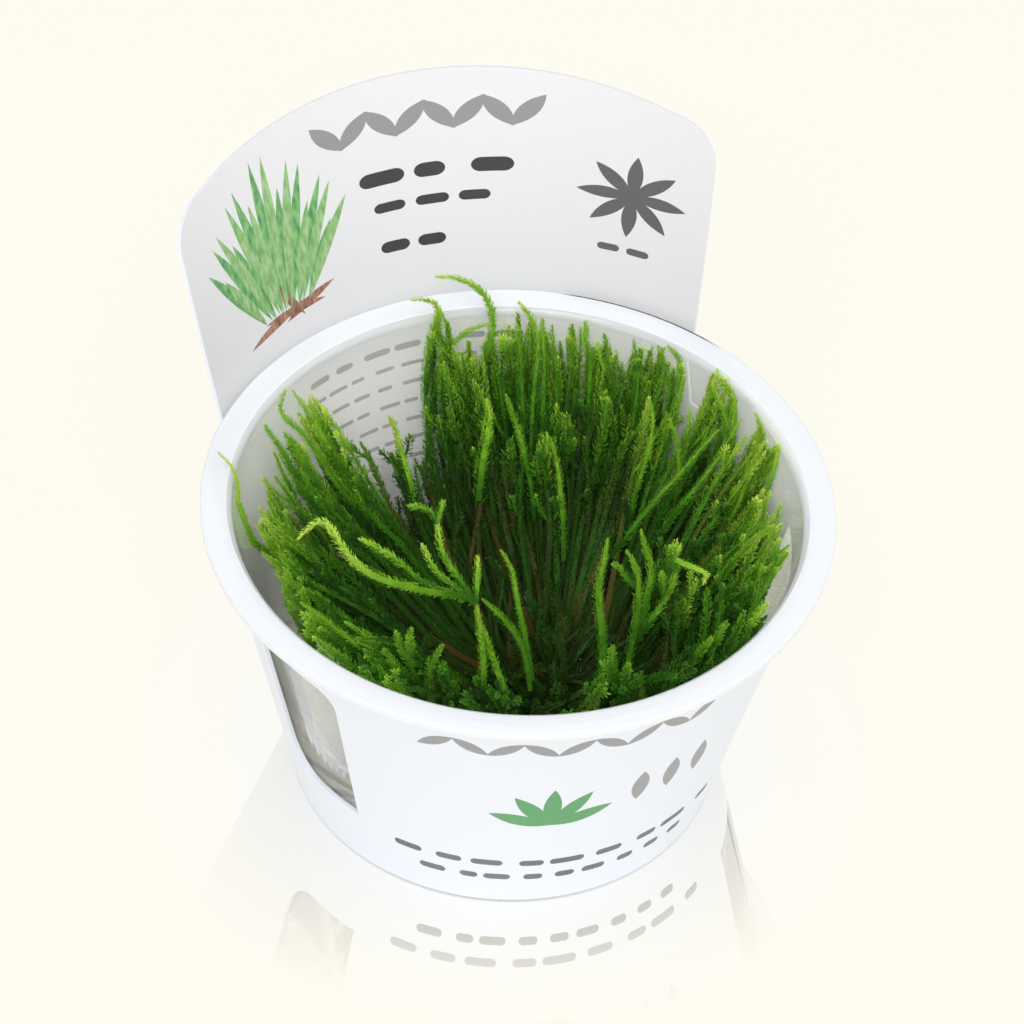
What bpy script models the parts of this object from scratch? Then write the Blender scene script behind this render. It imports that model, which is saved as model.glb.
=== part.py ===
"""A tuft of spiky moss in an open plastic cup, which stands in a die-cut card sleeve with a tall header.

Metres, +Z up. The origin is the centre of the cup's flat underside. The header is at the back, towards +Y.
"""

import math

import bmesh
import bpy
from mathutils import Vector

MM = 0.001

RIM_RADIUS = 40 * MM
RIM_HEIGHT = 44 * MM
OPENING_RADIUS = 35.9 * MM
FLANGE_THICKNESS = 1.2 * MM
FLANGE_FILLET = 1.2 * MM
FLANGE_EDGE = 0.3 * MM
CUP_TAPER = 0.232
CUP_WALL = 0.9 * MM
CUP_FLOOR = 1.0 * MM
CUP_FOOT = 0.8 * MM
CUP_SEGMENTS = 72
FILLET_STEPS = 3

CARD = 0.45 * MM
CARD_GAP = 0.3 * MM
SLEEVE_BOTTOM = 1.0 * MM
SLEEVE_TOP = 41.8 * MM
HEADER_TAPER = 0.32
HEADER_ANGLE = 90.0
HEADER_FOOT_SPAN = 50.2
HEADER_SIDE_SPAN = 46.6
HEADER_SIDE_TOP = 64 * MM
HEADER_SHOULDER_SPAN = 38.5
HEADER_SHOULDER_TOP = 69.8 * MM
HEADER_TOP = 73.2 * MM
FLARE_END = 84.0
SLEEVE_STEP = 4.0

WINDOW_CENTRE = 112.0
WINDOW_SPAN = 23.0
WINDOW_LOW = 11.2 * MM
WINDOW_HIGH = 37.2 * MM
WINDOW_CORNER = 3.0 * MM
WINDOW_FOOT_CORNER = 5.0 * MM
CORNER_STEPS = 3

ROOT = Vector((7 * MM, 1 * MM, 0))
ROOT_FLOOR = CUP_FLOOR + 0.3 * MM
CROWN_HEIGHT = 9 * MM
CROWN_STEPS = 5
SHEAF_GAP = 0.4 * MM
LOCK_START = 6.5 * MM
LOCK_START_HEIGHT = 4 * MM
LOCK_MARGIN = 24.0
LOCK_RADIUS = 2.1 * MM
LOCK_TIP_RADIUS = 0.5 * MM
LOCK_FULLNESS = 0.55
LOCK_SIDES = 5
LOCK_RINGS = 6

# Each sheaf: the sector about the root that it fills, in degrees, how far its matted foot spreads in mm,
# then its locks. A lock is the tip's azimuth about the cup's axis in degrees, its distance from that axis
# and its height in mm, and how far the lock bows upwards in mm.
SHEAVES = {
    "moss_back": (
        (46, 120),
        18,
        [
            (110, 26, 33, 0),
            (96, 34, 47, 2),
            (89, 34, 44, 1),
            (80, 34, 50, 3),
            (84, 27, 40, 1),
            (74, 33, 43, 0),
            (70, 34, 44, 1),
            (66, 33, 43, 0),
            (62, 33, 42, 1),
            (58, 34, 44, 0),
            (54, 33, 42, 1),
            (49, 33, 42, 0),
            (82, 23, 36, 1),
            (73, 22, 34, 0),
            (61, 20, 37, 1),
            (58, 26, 36, 0),
            (47, 28, 38, 1),
            (44, 34, 43, 0),
        ],
    ),
    "moss_left": (
        (120, 205),
        26,
        [
            (124, 34, 41, 1),
            (129, 33, 40, 1),
            (134, 33, 38, 0),
            (140, 33, 39, 1),
            (148, 33, 39, 1),
            (153, 37, 46, 2),
            (156, 32, 38, 0),
            (162, 33, 39, 1),
            (169, 32, 38, 1),
            (176, 31, 36, 1),
            (183, 30, 35, 1),
            (190, 30, 36, 1),
            (196, 29, 35, 1),
            (136, 25, 27, 0),
            (150, 25, 29, 1),
            (164, 24, 29, 1),
            (172, 27, 44, 8),
            (180, 24, 28, 1),
            (178, 13, 36, 2),
            (150, 15, 30, 1),
        ],
    ),
    "moss_front": (
        (205, 316),
        18,
        [
            (203, 26, 36, 2),
            (210, 28, 36, 1),
            (219, 29, 36, 1),
            (214, 21, 33, 1),
            (226, 22, 35, 1),
            (215, 10, 40, 1),
            (236, 27, 33, 1),
            (245, 22, 34, 0),
            (252, 27, 30, 1),
            (266, 26, 31, 1),
            (280, 24, 35, 1),
            (290, 25, 33, 1),
            (302, 26, 31, 1),
            (318, 16, 37, 1),
            (312, 27, 31, 1),
            (270, 17, 26, 0),
        ],
    ),
    "moss_right": (
        (316, 406),
        17,
        [
            (32, 34, 42, 0),
            (27, 34, 43, 1),
            (23, 29, 34, 0),
            (16, 34, 42, 1),
            (11, 34, 41, 0),
            (5, 34, 42, 1),
            (358, 33, 39, 0),
            (350, 32, 40, 1),
            (343, 33, 41, 1),
            (335, 33, 38, 1),
            (328, 32, 34, 1),
            (345, 20, 37, 1),
            (330, 24, 36, 2),
            (20, 26, 33, 0),
            (4, 26, 30, 1),
            (346, 27, 29, 1),
        ],
    ),
}


def clear_scene():
    for thing in list(bpy.data.objects):
        bpy.data.objects.remove(thing, do_unlink=True)


def polar(radius, azimuth, height):
    angle = math.radians(azimuth)
    return Vector((radius * math.cos(angle), radius * math.sin(angle), height))


def smooth_step(value):
    clamped = min(1.0, max(0.0, value))
    return clamped * clamped * (3 - 2 * clamped)


def make_material(name, colour, roughness, transmission=0.0):
    material = bpy.data.materials.new(name)
    material.use_nodes = True
    shader = material.node_tree.nodes["Principled BSDF"]
    shader.inputs["Base Color"].default_value = (*colour, 1)
    shader.inputs["Roughness"].default_value = roughness
    shader.inputs["Metallic"].default_value = 0
    shader.inputs["Transmission Weight"].default_value = transmission
    return material


def finish_object(name, mesh, material=None, helper=False):
    """Makes an object of a bmesh with its faces turned outwards. A helper is only a tool for a modifier."""
    bmesh.ops.recalc_face_normals(mesh, faces=mesh.faces)
    data = bpy.data.meshes.new(name)
    mesh.to_mesh(data)
    mesh.free()
    thing = bpy.data.objects.new(name, data)
    bpy.context.scene.collection.objects.link(thing)
    if material:
        data.materials.append(material)
    if helper:
        thing.hide_render = True
        thing.display_type = "WIRE"
    return thing


def cup_inner_radius(height):
    return OPENING_RADIUS - (RIM_HEIGHT - FLANGE_FILLET - height) * CUP_TAPER


def arc(centre, radius, start, end, steps):
    """Points (radius from the axis, height) along an arc, its angles in degrees."""
    points = []
    for step in range(steps + 1):
        angle = math.radians(start + (end - start) * step / steps)
        points.append((centre[0] + radius * math.cos(angle), centre[1] + radius * math.sin(angle)))
    return points


def cup_profile():
    """The cup's section from the middle of the underside, up the outside and down the inside."""
    wall_top = RIM_HEIGHT - FLANGE_THICKNESS
    foot = cup_inner_radius(CUP_FOOT) + CUP_WALL
    profile = [(0, 0), (foot - CUP_FOOT, 0)]
    profile += arc((foot - CUP_FOOT, CUP_FOOT), CUP_FOOT, -60, 0, FILLET_STEPS - 1)
    profile.append((cup_inner_radius(wall_top) + CUP_WALL, wall_top))
    profile += arc((RIM_RADIUS - FLANGE_EDGE, wall_top + FLANGE_EDGE), FLANGE_EDGE, -90, 0, 2)
    profile += arc((RIM_RADIUS - FLANGE_EDGE, RIM_HEIGHT - FLANGE_EDGE), FLANGE_EDGE, 0, 90, 2)
    fillet = (OPENING_RADIUS + FLANGE_FILLET, RIM_HEIGHT - FLANGE_FILLET)
    profile += arc(fillet, FLANGE_FILLET, 90, 180, FILLET_STEPS)
    floor_corner = cup_inner_radius(CUP_FLOOR + CUP_FOOT)
    profile.append((floor_corner, CUP_FLOOR + CUP_FOOT))
    profile.append((floor_corner - CUP_FOOT, CUP_FLOOR))
    profile.append((0, CUP_FLOOR))
    return profile


def make_cup(material):
    mesh = bmesh.new()
    points = [mesh.verts.new((radius, 0, height)) for radius, height in cup_profile()]
    edges = [mesh.edges.new(pair) for pair in zip(points, points[1:])]
    bmesh.ops.spin(
        mesh,
        geom=points + edges,
        axis=(0, 0, 1),
        cent=(0, 0, 0),
        steps=CUP_SEGMENTS,
        angle=math.tau,
        use_merge=True,
    )
    bmesh.ops.remove_doubles(mesh, verts=mesh.verts, dist=0.001 * MM)
    return finish_object("cup", mesh, material)


def sleeve_taper(offset):
    """The card's slope: it hugs the cup at the front, and at the back it leans out past the flange."""
    flare = smooth_step((FLARE_END - offset) / (FLARE_END - HEADER_FOOT_SPAN))
    return CUP_TAPER + (HEADER_TAPER - CUP_TAPER) * flare


def sleeve_radius(azimuth, height):
    """The radius of the card's outer face."""
    offset = abs((azimuth - HEADER_ANGLE + 180) % 360 - 180)
    foot = cup_inner_radius(SLEEVE_BOTTOM) + CUP_WALL + CARD_GAP + CARD
    return foot + (height - SLEEVE_BOTTOM) * sleeve_taper(offset)


def header_outline():
    """Points (degrees from the header's middle, height) down its right half: arch, shoulder and side."""
    points = []
    for step in range(7):
        span = HEADER_SHOULDER_SPAN * step / 6
        drop = (HEADER_TOP - HEADER_SHOULDER_TOP) * (span / HEADER_SHOULDER_SPAN) ** 2
        points.append((span, HEADER_TOP - drop))
    for step in range(1, 6):
        angle = math.radians(90 * step / 6)
        span = HEADER_SHOULDER_SPAN + (HEADER_SIDE_SPAN - HEADER_SHOULDER_SPAN) * math.sin(angle)
        height = HEADER_SIDE_TOP + (HEADER_SHOULDER_TOP - HEADER_SIDE_TOP) * math.cos(angle)
        points.append((span, height))
    points.append((HEADER_SIDE_SPAN, HEADER_SIDE_TOP))
    points.append((HEADER_FOOT_SPAN, SLEEVE_TOP))
    return points


def sleeve_columns():
    """Each column of the card as (azimuth, height of its top), once round."""
    half = header_outline()
    columns = [(HEADER_ANGLE - span, height) for span, height in reversed(half)]
    columns += [(HEADER_ANGLE + span, height) for span, height in half[1:]]
    span = 360 - 2 * HEADER_FOOT_SPAN
    steps = round(span / SLEEVE_STEP)
    for step in range(1, steps):
        columns.append((HEADER_ANGLE + HEADER_FOOT_SPAN + span * step / steps, SLEEVE_TOP))
    return columns


def window_outline(side):
    """The window's corners as (azimuth, height), with the corner above the front and the far foot rounded."""
    centre = HEADER_ANGLE + side * WINDOW_CENTRE
    front = centre + side * WINDOW_SPAN / 2
    far = centre - side * WINDOW_SPAN / 2
    radius = sleeve_radius(centre, (WINDOW_LOW + WINDOW_HIGH) / 2)

    def corner(azimuth, height, size, sign, up):
        turn = math.degrees(size / radius)
        points = []
        for step in range(CORNER_STEPS + 1):
            angle = math.radians(90 * step / CORNER_STEPS)
            across = azimuth + sign * turn * (1 - math.sin(angle))
            points.append((across, height - up * size * (1 - math.cos(angle))))
        return points

    top_front = corner(front, WINDOW_HIGH, WINDOW_CORNER, -side, 1)
    foot_far = corner(far, WINDOW_LOW, WINDOW_FOOT_CORNER, side, -1)
    return top_front + [(front, WINDOW_LOW)] + foot_far + [(far, WINDOW_HIGH)]


def make_window_cutter(side):
    """A block through the card, along the radii of the cup."""
    mesh = bmesh.new()
    rings = []
    for depth in (-4 * MM, 4 * MM):
        ring = [
            mesh.verts.new(polar(sleeve_radius(azimuth, height) + depth, azimuth, height))
            for azimuth, height in window_outline(side)
        ]
        mesh.faces.new(ring)
        rings.append(ring)
    for index in range(len(rings[0])):
        following = (index + 1) % len(rings[0])
        mesh.faces.new((rings[0][index], rings[0][following], rings[1][following], rings[1][index]))
    name = "window_cutter_left" if side > 0 else "window_cutter_right"
    return finish_object(name, mesh, helper=True)


def make_sleeve(material):
    mesh = bmesh.new()
    columns = []
    for azimuth, top in sleeve_columns():
        column = []
        for height, inset in ((SLEEVE_BOTTOM, 0), (top, 0), (top, CARD), (SLEEVE_BOTTOM, CARD)):
            radius = sleeve_radius(azimuth, height) - inset
            column.append(mesh.verts.new(polar(radius, azimuth, height)))
        columns.append(column)
    for index, column in enumerate(columns):
        following = columns[(index + 1) % len(columns)]
        for side in range(4):
            near, far = side, (side + 1) % 4
            mesh.faces.new((column[near], following[near], following[far], column[far]))
    sleeve = finish_object("sleeve", mesh, material)
    for side in (1, -1):
        cut = sleeve.modifiers.new("Window", "BOOLEAN")
        cut.operation = "DIFFERENCE"
        cut.object = make_window_cutter(side)
    return sleeve


def make_crown(name, sector, spread, material):
    """The sheaf's matted foot: a low wedge of the tuft, from the root outwards."""
    mesh = bmesh.new()
    low, high = sector
    middle = (low + high) / 2
    half = math.radians((high - low) / 2)
    apex = ROOT + polar(SHEAF_GAP / 2 / math.sin(half), middle, 0)
    rings = []
    for rise, share in ((0, 0.85), (0.3, 1.0), (1, 0.4)):
        height = ROOT_FLOOR + rise * CROWN_HEIGHT
        ring = [mesh.verts.new(apex + Vector((0, 0, height)))]
        for step in range(CROWN_STEPS + 1):
            azimuth = low + (high - low) * step / CROWN_STEPS
            ring.append(mesh.verts.new(apex + polar(spread * MM * share, azimuth, height)))
        rings.append(ring)
    mesh.faces.new(rings[0])
    mesh.faces.new(rings[-1])
    for lower, upper in zip(rings, rings[1:]):
        for index in range(len(lower)):
            following = (index + 1) % len(lower)
            mesh.faces.new((lower[index], lower[following], upper[following], upper[index]))
    return finish_object(name, mesh, material)


def lock_path(sector, lock):
    """The lock's three control points: its start in the crown, the bow and the tip."""
    azimuth, reach, height, bow = lock
    tip = polar(reach * MM, azimuth, height * MM)
    towards = math.degrees(math.atan2(tip.y - ROOT.y, tip.x - ROOT.x))
    low, high = sector
    middle = (low + high) / 2
    towards = middle + (towards - middle + 180) % 360 - 180
    towards = min(high - LOCK_MARGIN, max(low + LOCK_MARGIN, towards))
    start = ROOT + polar(LOCK_START, towards, LOCK_START_HEIGHT)
    return start, (start + tip) / 2 + Vector((0, 0, 2 * bow * MM)), tip


def make_lock(name, sector, lock, collection):
    """One tapered lock of shoots along its curve."""
    start, bow, tip = lock_path(sector, lock)
    mesh = bmesh.new()
    rings = []
    for step in range(LOCK_RINGS):
        share = step / (LOCK_RINGS - 1)
        point = start * (1 - share) ** 2 + bow * 2 * share * (1 - share) + tip * share**2
        along = ((bow - start) * (1 - share) + (tip - bow) * share).normalized()
        side = along.cross(Vector((0, 0, 1))).normalized()
        up = side.cross(along)
        radius = LOCK_TIP_RADIUS + (LOCK_RADIUS - LOCK_TIP_RADIUS) * (1 - share) ** LOCK_FULLNESS
        ring = []
        for corner in range(LOCK_SIDES):
            angle = math.tau * corner / LOCK_SIDES
            ring.append(mesh.verts.new(point + (side * math.cos(angle) + up * math.sin(angle)) * radius))
        rings.append(ring)
    mesh.faces.new(rings[0])
    mesh.faces.new(rings[-1])
    for lower, upper in zip(rings, rings[1:]):
        for index in range(LOCK_SIDES):
            following = (index + 1) % LOCK_SIDES
            mesh.faces.new((lower[index], lower[following], upper[following], upper[index]))
    helper = finish_object(name, mesh, helper=True)
    bpy.context.scene.collection.objects.unlink(helper)
    collection.objects.link(helper)


def make_sheaf(name, sector, spread, locks, material):
    """The crown with its locks fused to it."""
    sheaf = make_crown(name, sector, spread, material)
    collection = bpy.data.collections.new(name + "_locks")
    bpy.context.scene.collection.children.link(collection)
    for index, lock in enumerate(locks):
        make_lock(f"{name}_lock_{index + 1}", sector, lock, collection)
    fuse = sheaf.modifiers.new("Locks", "BOOLEAN")
    fuse.operation = "UNION"
    fuse.operand_type = "COLLECTION"
    fuse.collection = collection
    fuse.solver = "EXACT"
    return sheaf


def main():
    clear_scene()
    plastic = make_material("cup_plastic", (0.90, 0.92, 0.94), 0.2, transmission=0.7)
    card = make_material("sleeve_card", (0.90, 0.90, 0.91), 0.5)
    moss = make_material("moss_shoots", (0.07, 0.20, 0.02), 0.55)
    make_cup(plastic)
    make_sleeve(card)
    for name, (sector, spread, locks) in SHEAVES.items():
        make_sheaf(name, sector, spread, locks, moss)


main()
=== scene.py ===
# %% [markdown]
# # Spiky moss in a clear cup with a card sleeve
#
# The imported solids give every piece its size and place. This lesson loads them as a fixed frame, sets the
# camera and the light, and then makes the finished pieces one by one: the clear cup, the die-cut card
# sleeve with its print, and the four sheaves of moss with all their small leaves.

# %% Load the frame
import math

import bmesh
import bpy
import numpy as np
from mathutils import Matrix, Quaternion, Vector


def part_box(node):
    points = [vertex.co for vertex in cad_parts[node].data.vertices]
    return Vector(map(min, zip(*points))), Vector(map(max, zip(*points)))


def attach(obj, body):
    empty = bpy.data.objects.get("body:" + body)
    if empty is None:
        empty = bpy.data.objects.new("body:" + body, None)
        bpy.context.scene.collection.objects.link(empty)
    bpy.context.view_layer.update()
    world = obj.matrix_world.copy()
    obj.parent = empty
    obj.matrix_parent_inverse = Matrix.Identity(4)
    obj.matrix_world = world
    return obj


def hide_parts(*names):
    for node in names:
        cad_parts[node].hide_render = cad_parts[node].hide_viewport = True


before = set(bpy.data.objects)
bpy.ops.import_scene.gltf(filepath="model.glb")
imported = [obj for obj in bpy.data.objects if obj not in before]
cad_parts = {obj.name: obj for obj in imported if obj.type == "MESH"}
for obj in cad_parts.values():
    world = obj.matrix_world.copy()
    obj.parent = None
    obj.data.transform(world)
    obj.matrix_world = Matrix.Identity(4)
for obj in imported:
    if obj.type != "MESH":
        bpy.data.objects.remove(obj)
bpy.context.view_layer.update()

MM = 0.001
cup_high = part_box("cup")[1]
sleeve_low, sleeve_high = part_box("sleeve")

# %% [markdown]
# ## Camera
#
# The photograph looks down on the cup from its front left with a long lens. Its viewpoint was found from
# the ellipses of the rim and the foot, so the same rim, drawn by this camera, falls on the same ellipse.
# The photographer held the camera slightly tilted, which is the small roll at the end.

# %% Place the camera
PHOTO_SIDE = 1024
SENSOR_WIDTH = 36.0
FOCAL_LENGTH_IN_PIXELS = 5533.6
CAMERA_DISTANCE = 694.5 * MM
CAMERA_AZIMUTH = -20.6
CAMERA_ELEVATION = 44.31
CAMERA_ROLL = 3.646
CAMERA_AIM = Vector((-0.78, -1.86, 44.16)) * MM
CLIP_START = 0.01


def put_in_scene(name, data):
    """Puts a mesh, a lamp or a camera in the scene."""
    item = bpy.data.objects.new(name, data)
    bpy.context.scene.collection.objects.link(item)
    return item


def place_camera():
    turn = Matrix.Rotation(math.radians(CAMERA_AZIMUTH), 3, "Z")
    elevation = math.radians(CAMERA_ELEVATION)
    above_rim = Vector((0, 0, CAMERA_AIM.z))
    eye = above_rim + CAMERA_DISTANCE * Vector((0, -math.cos(elevation), math.sin(elevation)))
    looking = turn @ (CAMERA_AIM - eye)
    camera = put_in_scene("camera", bpy.data.cameras.new("camera"))
    camera.location = turn @ eye
    camera.rotation_mode = "QUATERNION"
    roll = Quaternion((0, 0, 1), math.radians(CAMERA_ROLL))
    camera.rotation_quaternion = looking.to_track_quat("-Z", "Y") @ roll
    camera.data.sensor_width = SENSOR_WIDTH
    camera.data.lens = FOCAL_LENGTH_IN_PIXELS / PHOTO_SIDE * SENSOR_WIDTH
    camera.data.clip_start = CLIP_START
    bpy.context.scene.camera = camera
    print("the lens is", round(camera.data.lens, 1), "mm")


place_camera()

# %% [markdown]
# ## Node helpers
#
# Every finish below is a small tree of shader nodes. One helper adds a node, sets its options and fills or
# links its inputs, so that a material reads from top to bottom like a recipe.


# %% Write materials as short recipes
def add(tree, kind, *inputs, **settings):
    """Adds a node. Each input is None to leave it, a node or a socket to link, or a value to set."""
    node = tree.nodes.new(kind)
    for key, value in settings.items():
        setattr(node, key, value)
    for place, value in enumerate(inputs):
        if value is not None:
            feed(tree, node.inputs[place], value)
    return node


def feed(tree, socket, value):
    if isinstance(value, bpy.types.Node):
        value = next(output for output in value.outputs if output.enabled)
    if isinstance(value, bpy.types.NodeSocket):
        tree.links.new(value, socket)
    else:
        socket.default_value = value


def new_material(name, **values):
    """A material with its Principled shader's plain values set, such as Roughness=0.4."""
    material = bpy.data.materials.new(name)
    material.use_nodes = True
    shader = material.node_tree.nodes["Principled BSDF"]
    for key, value in values.items():
        shader.inputs[key.replace("_", " ")].default_value = value
    return material, material.node_tree, shader


def new_group(name, inputs, outputs):
    """A node group from {socket name: socket type} for each side. It returns the group and its two ends."""
    group = bpy.data.node_groups.new(name, "ShaderNodeTree")
    for side, sockets in (("INPUT", inputs), ("OUTPUT", outputs)):
        for socket, kind in sockets.items():
            group.interface.new_socket(socket, in_out=side, socket_type="NodeSocket" + kind)
    return group, group.nodes.new("NodeGroupInput"), group.nodes.new("NodeGroupOutput")


def maths(tree, operation, first, second=None):
    return add(tree, "ShaderNodeMath", first, second, operation=operation)


# %% [markdown]
# ## Floor and light
#
# The cup stands on a bright glossy sheet in a light tent, so it casts hardly a shadow and shows a pale
# mirror image of itself. The floor glows, scatters a little light, and mirrors only what is near the cup.
# The tent is the world's own even light, and two large soft lamps give the plastic its highlights.

# %% Lay the floor and hang the lights
PAPER_WHITE = (1.0, 0.978, 0.885, 1)
FLOOR_SIDE = 3.0
FLOOR_GLOW = 0.9
FLOOR_BOUNCE = 1.05
FLOOR_SCATTER = 0.1
MIRROR_SHARE = 0.7
MIRROR_ROUGHNESS = 0.02
MIRROR_NEAR = 25 * MM
MIRROR_FAR = 50 * MM
TENT_WHITE = (1.0, 0.995, 1.0, 1)
TENT_STRENGTH = 0.5
TENT_MIRRORED = 0.95
KEY_POWER = 7.9
FILL_POWER = 2.6


def lay_floor():
    mesh = bmesh.new()
    bmesh.ops.create_grid(mesh, x_segments=1, y_segments=1, size=FLOOR_SIDE / 2)
    data = bpy.data.meshes.new("floor")
    mesh.to_mesh(data)
    mesh.free()
    floor = put_in_scene("floor", data)
    material = bpy.data.materials.new("glossy_paper")
    material.use_nodes = True
    tree = material.node_tree
    tree.nodes.clear()
    path = add(tree, "ShaderNodeLightPath")
    bounced = maths(tree, "MULTIPLY", path.outputs["Is Diffuse Ray"], FLOOR_BOUNCE - FLOOR_GLOW)
    glow = add(tree, "ShaderNodeEmission", PAPER_WHITE, maths(tree, "ADD", FLOOR_GLOW, bounced))
    scatter = add(tree, "ShaderNodeBsdfDiffuse", [FLOOR_SCATTER * part for part in PAPER_WHITE[:3]] + [1])
    matt = add(tree, "ShaderNodeAddShader", glow, scatter)
    mirror = add(tree, "ShaderNodeBsdfGlossy", (1, 1, 1, 1), MIRROR_ROUGHNESS)
    spot = add(tree, "ShaderNodeTexCoord").outputs["Object"]
    distance = add(tree, "ShaderNodeVectorMath", spot, operation="LENGTH").outputs["Value"]
    share = add(tree, "ShaderNodeMapRange", distance, MIRROR_NEAR, MIRROR_FAR, MIRROR_SHARE, 0.0)
    mixed = add(tree, "ShaderNodeMixShader", share, matt, mirror)
    add(tree, "ShaderNodeOutputMaterial", mixed)
    data.materials.append(material)


def hang_light(name, azimuth, elevation, distance, sides, power):
    """A lamp with a flat front that faces the cup. The azimuth is counted on the plan like the cup's own."""
    lamp = bpy.data.lights.new(name, "AREA")
    lamp.shape = "RECTANGLE"
    lamp.size, lamp.size_y = sides
    lamp.energy = power
    light = put_in_scene(name, lamp)
    level = distance * math.cos(math.radians(elevation))
    light.location = polar(level, azimuth, distance * math.sin(math.radians(elevation)))
    light.rotation_euler = (-light.location).to_track_quat("-Z", "Y").to_euler()


def polar(radius, azimuth, height):
    angle = math.radians(azimuth)
    return Vector((radius * math.cos(angle), radius * math.sin(angle), height))


def light_the_tent():
    world = bpy.data.worlds.new("tent")
    bpy.context.scene.world = world
    world.use_nodes = True
    tree = world.node_tree
    path = add(tree, "ShaderNodeLightPath")
    more = maths(tree, "MULTIPLY", path.outputs["Is Glossy Ray"], TENT_MIRRORED - TENT_STRENGTH)
    background = tree.nodes["Background"]
    feed(tree, background.inputs["Color"], TENT_WHITE)
    feed(tree, background.inputs["Strength"], maths(tree, "ADD", TENT_STRENGTH, more))


bpy.context.scene.view_settings.view_transform = "Standard"
lay_floor()
light_the_tent()
hang_light("key", azimuth=242, elevation=56, distance=1.2, sides=(0.8, 0.6), power=KEY_POWER)
hang_light("fill", azimuth=-35, elevation=48, distance=1.4, sides=(0.9, 0.9), power=FILL_POWER)
print("the floor and", len(bpy.data.lights), "lights are in place")

# %% [markdown]
# ## The clear cup
#
# The real cup is one thin injection-moulded shell: a flat floor, a straight tapered wall and a broad
# flange that the lid was sealed to. A shell of revolution is quickest to make by drawing its section once,
# with arcs for the rounded corners, and spinning it round the axis. Both faces of the wall are there, so
# light bends through it as it does in the real plastic.

# %% Draw the cup's section
RIM_RADIUS = cup_high.x
RIM_HEIGHT = cup_high.z
OPENING_RADIUS = 35.9 * MM
FLANGE_THICKNESS = 1.2 * MM
FLANGE_FILLET = 1.2 * MM
FLANGE_EDGE = 0.3 * MM
CUP_TAPER = 0.232
CUP_WALL = 0.9 * MM
CUP_FLOOR = 1.0 * MM
CUP_FOOT = 0.8 * MM
ARC_STEPS = 8


def cup_inner_radius(height):
    return OPENING_RADIUS - (RIM_HEIGHT - FLANGE_FILLET - height) * CUP_TAPER


def arc(centre, radius, start, end):
    """Points (radius from the axis, height) along an arc, its angles in degrees."""
    angles = [math.radians(start + (end - start) * step / ARC_STEPS) for step in range(ARC_STEPS + 1)]
    return [(centre[0] + radius * math.cos(a), centre[1] + radius * math.sin(a)) for a in angles]


def cup_section():
    wall_top = RIM_HEIGHT - FLANGE_THICKNESS
    foot = cup_inner_radius(CUP_FOOT) + CUP_WALL
    section = [(0, 0)]
    section += arc((foot - CUP_FOOT, CUP_FOOT), CUP_FOOT, -90, -13)
    under = cup_inner_radius(wall_top) + CUP_WALL
    section += [(under, wall_top), (under + FLANGE_EDGE, wall_top)]
    section += arc((RIM_RADIUS - FLANGE_EDGE, wall_top + FLANGE_EDGE), FLANGE_EDGE, -90, 0)
    section += arc((RIM_RADIUS - FLANGE_EDGE, RIM_HEIGHT - FLANGE_EDGE), FLANGE_EDGE, 0, 90)
    section += arc((OPENING_RADIUS + FLANGE_FILLET, RIM_HEIGHT - FLANGE_FILLET), FLANGE_FILLET, 90, 180)
    corner = cup_inner_radius(CUP_FLOOR + CUP_FOOT) - CUP_FOOT
    section += arc((corner, CUP_FLOOR + CUP_FOOT), CUP_FOOT, 0, -90)
    section.append((0, CUP_FLOOR))
    return section


print("the section has", len(cup_section()), "points")

# %% [markdown]
# ## The plastic
#
# The wall is clear with a faint milkiness, and the thick flange looks white. One recipe makes all three
# plastics, each with its own clearness and tint. The fillet at the opening has a darker tint, which is
# painted shade, and a fine dark line of painted shade runs along the flange's outer edge behind on the
# right. Soft light that falls through such a wall is slow to trace, so the alpha lets shadow rays and
# diffuse rays pass straight through instead.

# %% Mix the plastics
WALL_CLEARNESS = 0.78
WALL_TINT = (1.0, 0.992, 0.96)
FLANGE_CLEARNESS = 0.12
FLANGE_TINT = (0.925, 0.955, 1.0)
# Painted shade: the fillet at the opening is the flange's plastic, made clearer and given a darker tint for
# the soft shade in the fillet.
FILLET_CLEARNESS = 0.45
FILLET_SHADE_TINT = (0.86, 0.89, 0.9)
LET_THROUGH = 0.7
PLASTIC_IOR = 1.49
PLASTIC_ROUGHNESS = (0.04, 0.09)
FLOW_SCALE = 90.0
FLOW_DEPTH = 0.97
# Painted shade: a fine dark line painted along the flange's outer edge, behind on the right, for the shade in
# the gap against the header card.
SHADE_LINE_AZIMUTH = 48
SHADE_LINE_REACH = (0.955, 0.975)
SHADE_LINE_WIDTH = 0.4 * MM
SHADE_LINE_COLOUR = (0.07, 0.06, 0.06, 1)


def mottled(tree, pattern, tint, depth):
    """A tint that is slightly deeper where the pattern is low."""
    tone = add(tree, "ShaderNodeValToRGB", pattern)
    tone.color_ramp.elements[0].color = (*[depth * part for part in tint], 1)
    tone.color_ramp.elements[1].color = (*tint, 1)
    return tone


def painted_shade_line(tree, spot):
    """A mask of the painted shade line: a fine dark line painted along the flange's outer edge, behind on the
    right, for the shade in the gap between the flange and the card.
    """
    level = add(tree, "ShaderNodeVectorMath", spot, (1, 1, 0), operation="MULTIPLY")
    radius = add(tree, "ShaderNodeVectorMath", level, operation="LENGTH")
    heading = add(tree, "ShaderNodeVectorMath", level, operation="NORMALIZE")
    middle = tuple(polar(1, SHADE_LINE_AZIMUTH, 0))
    facing = add(tree, "ShaderNodeVectorMath", heading, middle, operation="DOT_PRODUCT")
    nearby = add(tree, "ShaderNodeMapRange", facing, *SHADE_LINE_REACH)
    return maths(tree, "MULTIPLY", maths(tree, "GREATER_THAN", radius, RIM_RADIUS - SHADE_LINE_WIDTH), nearby)


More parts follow.
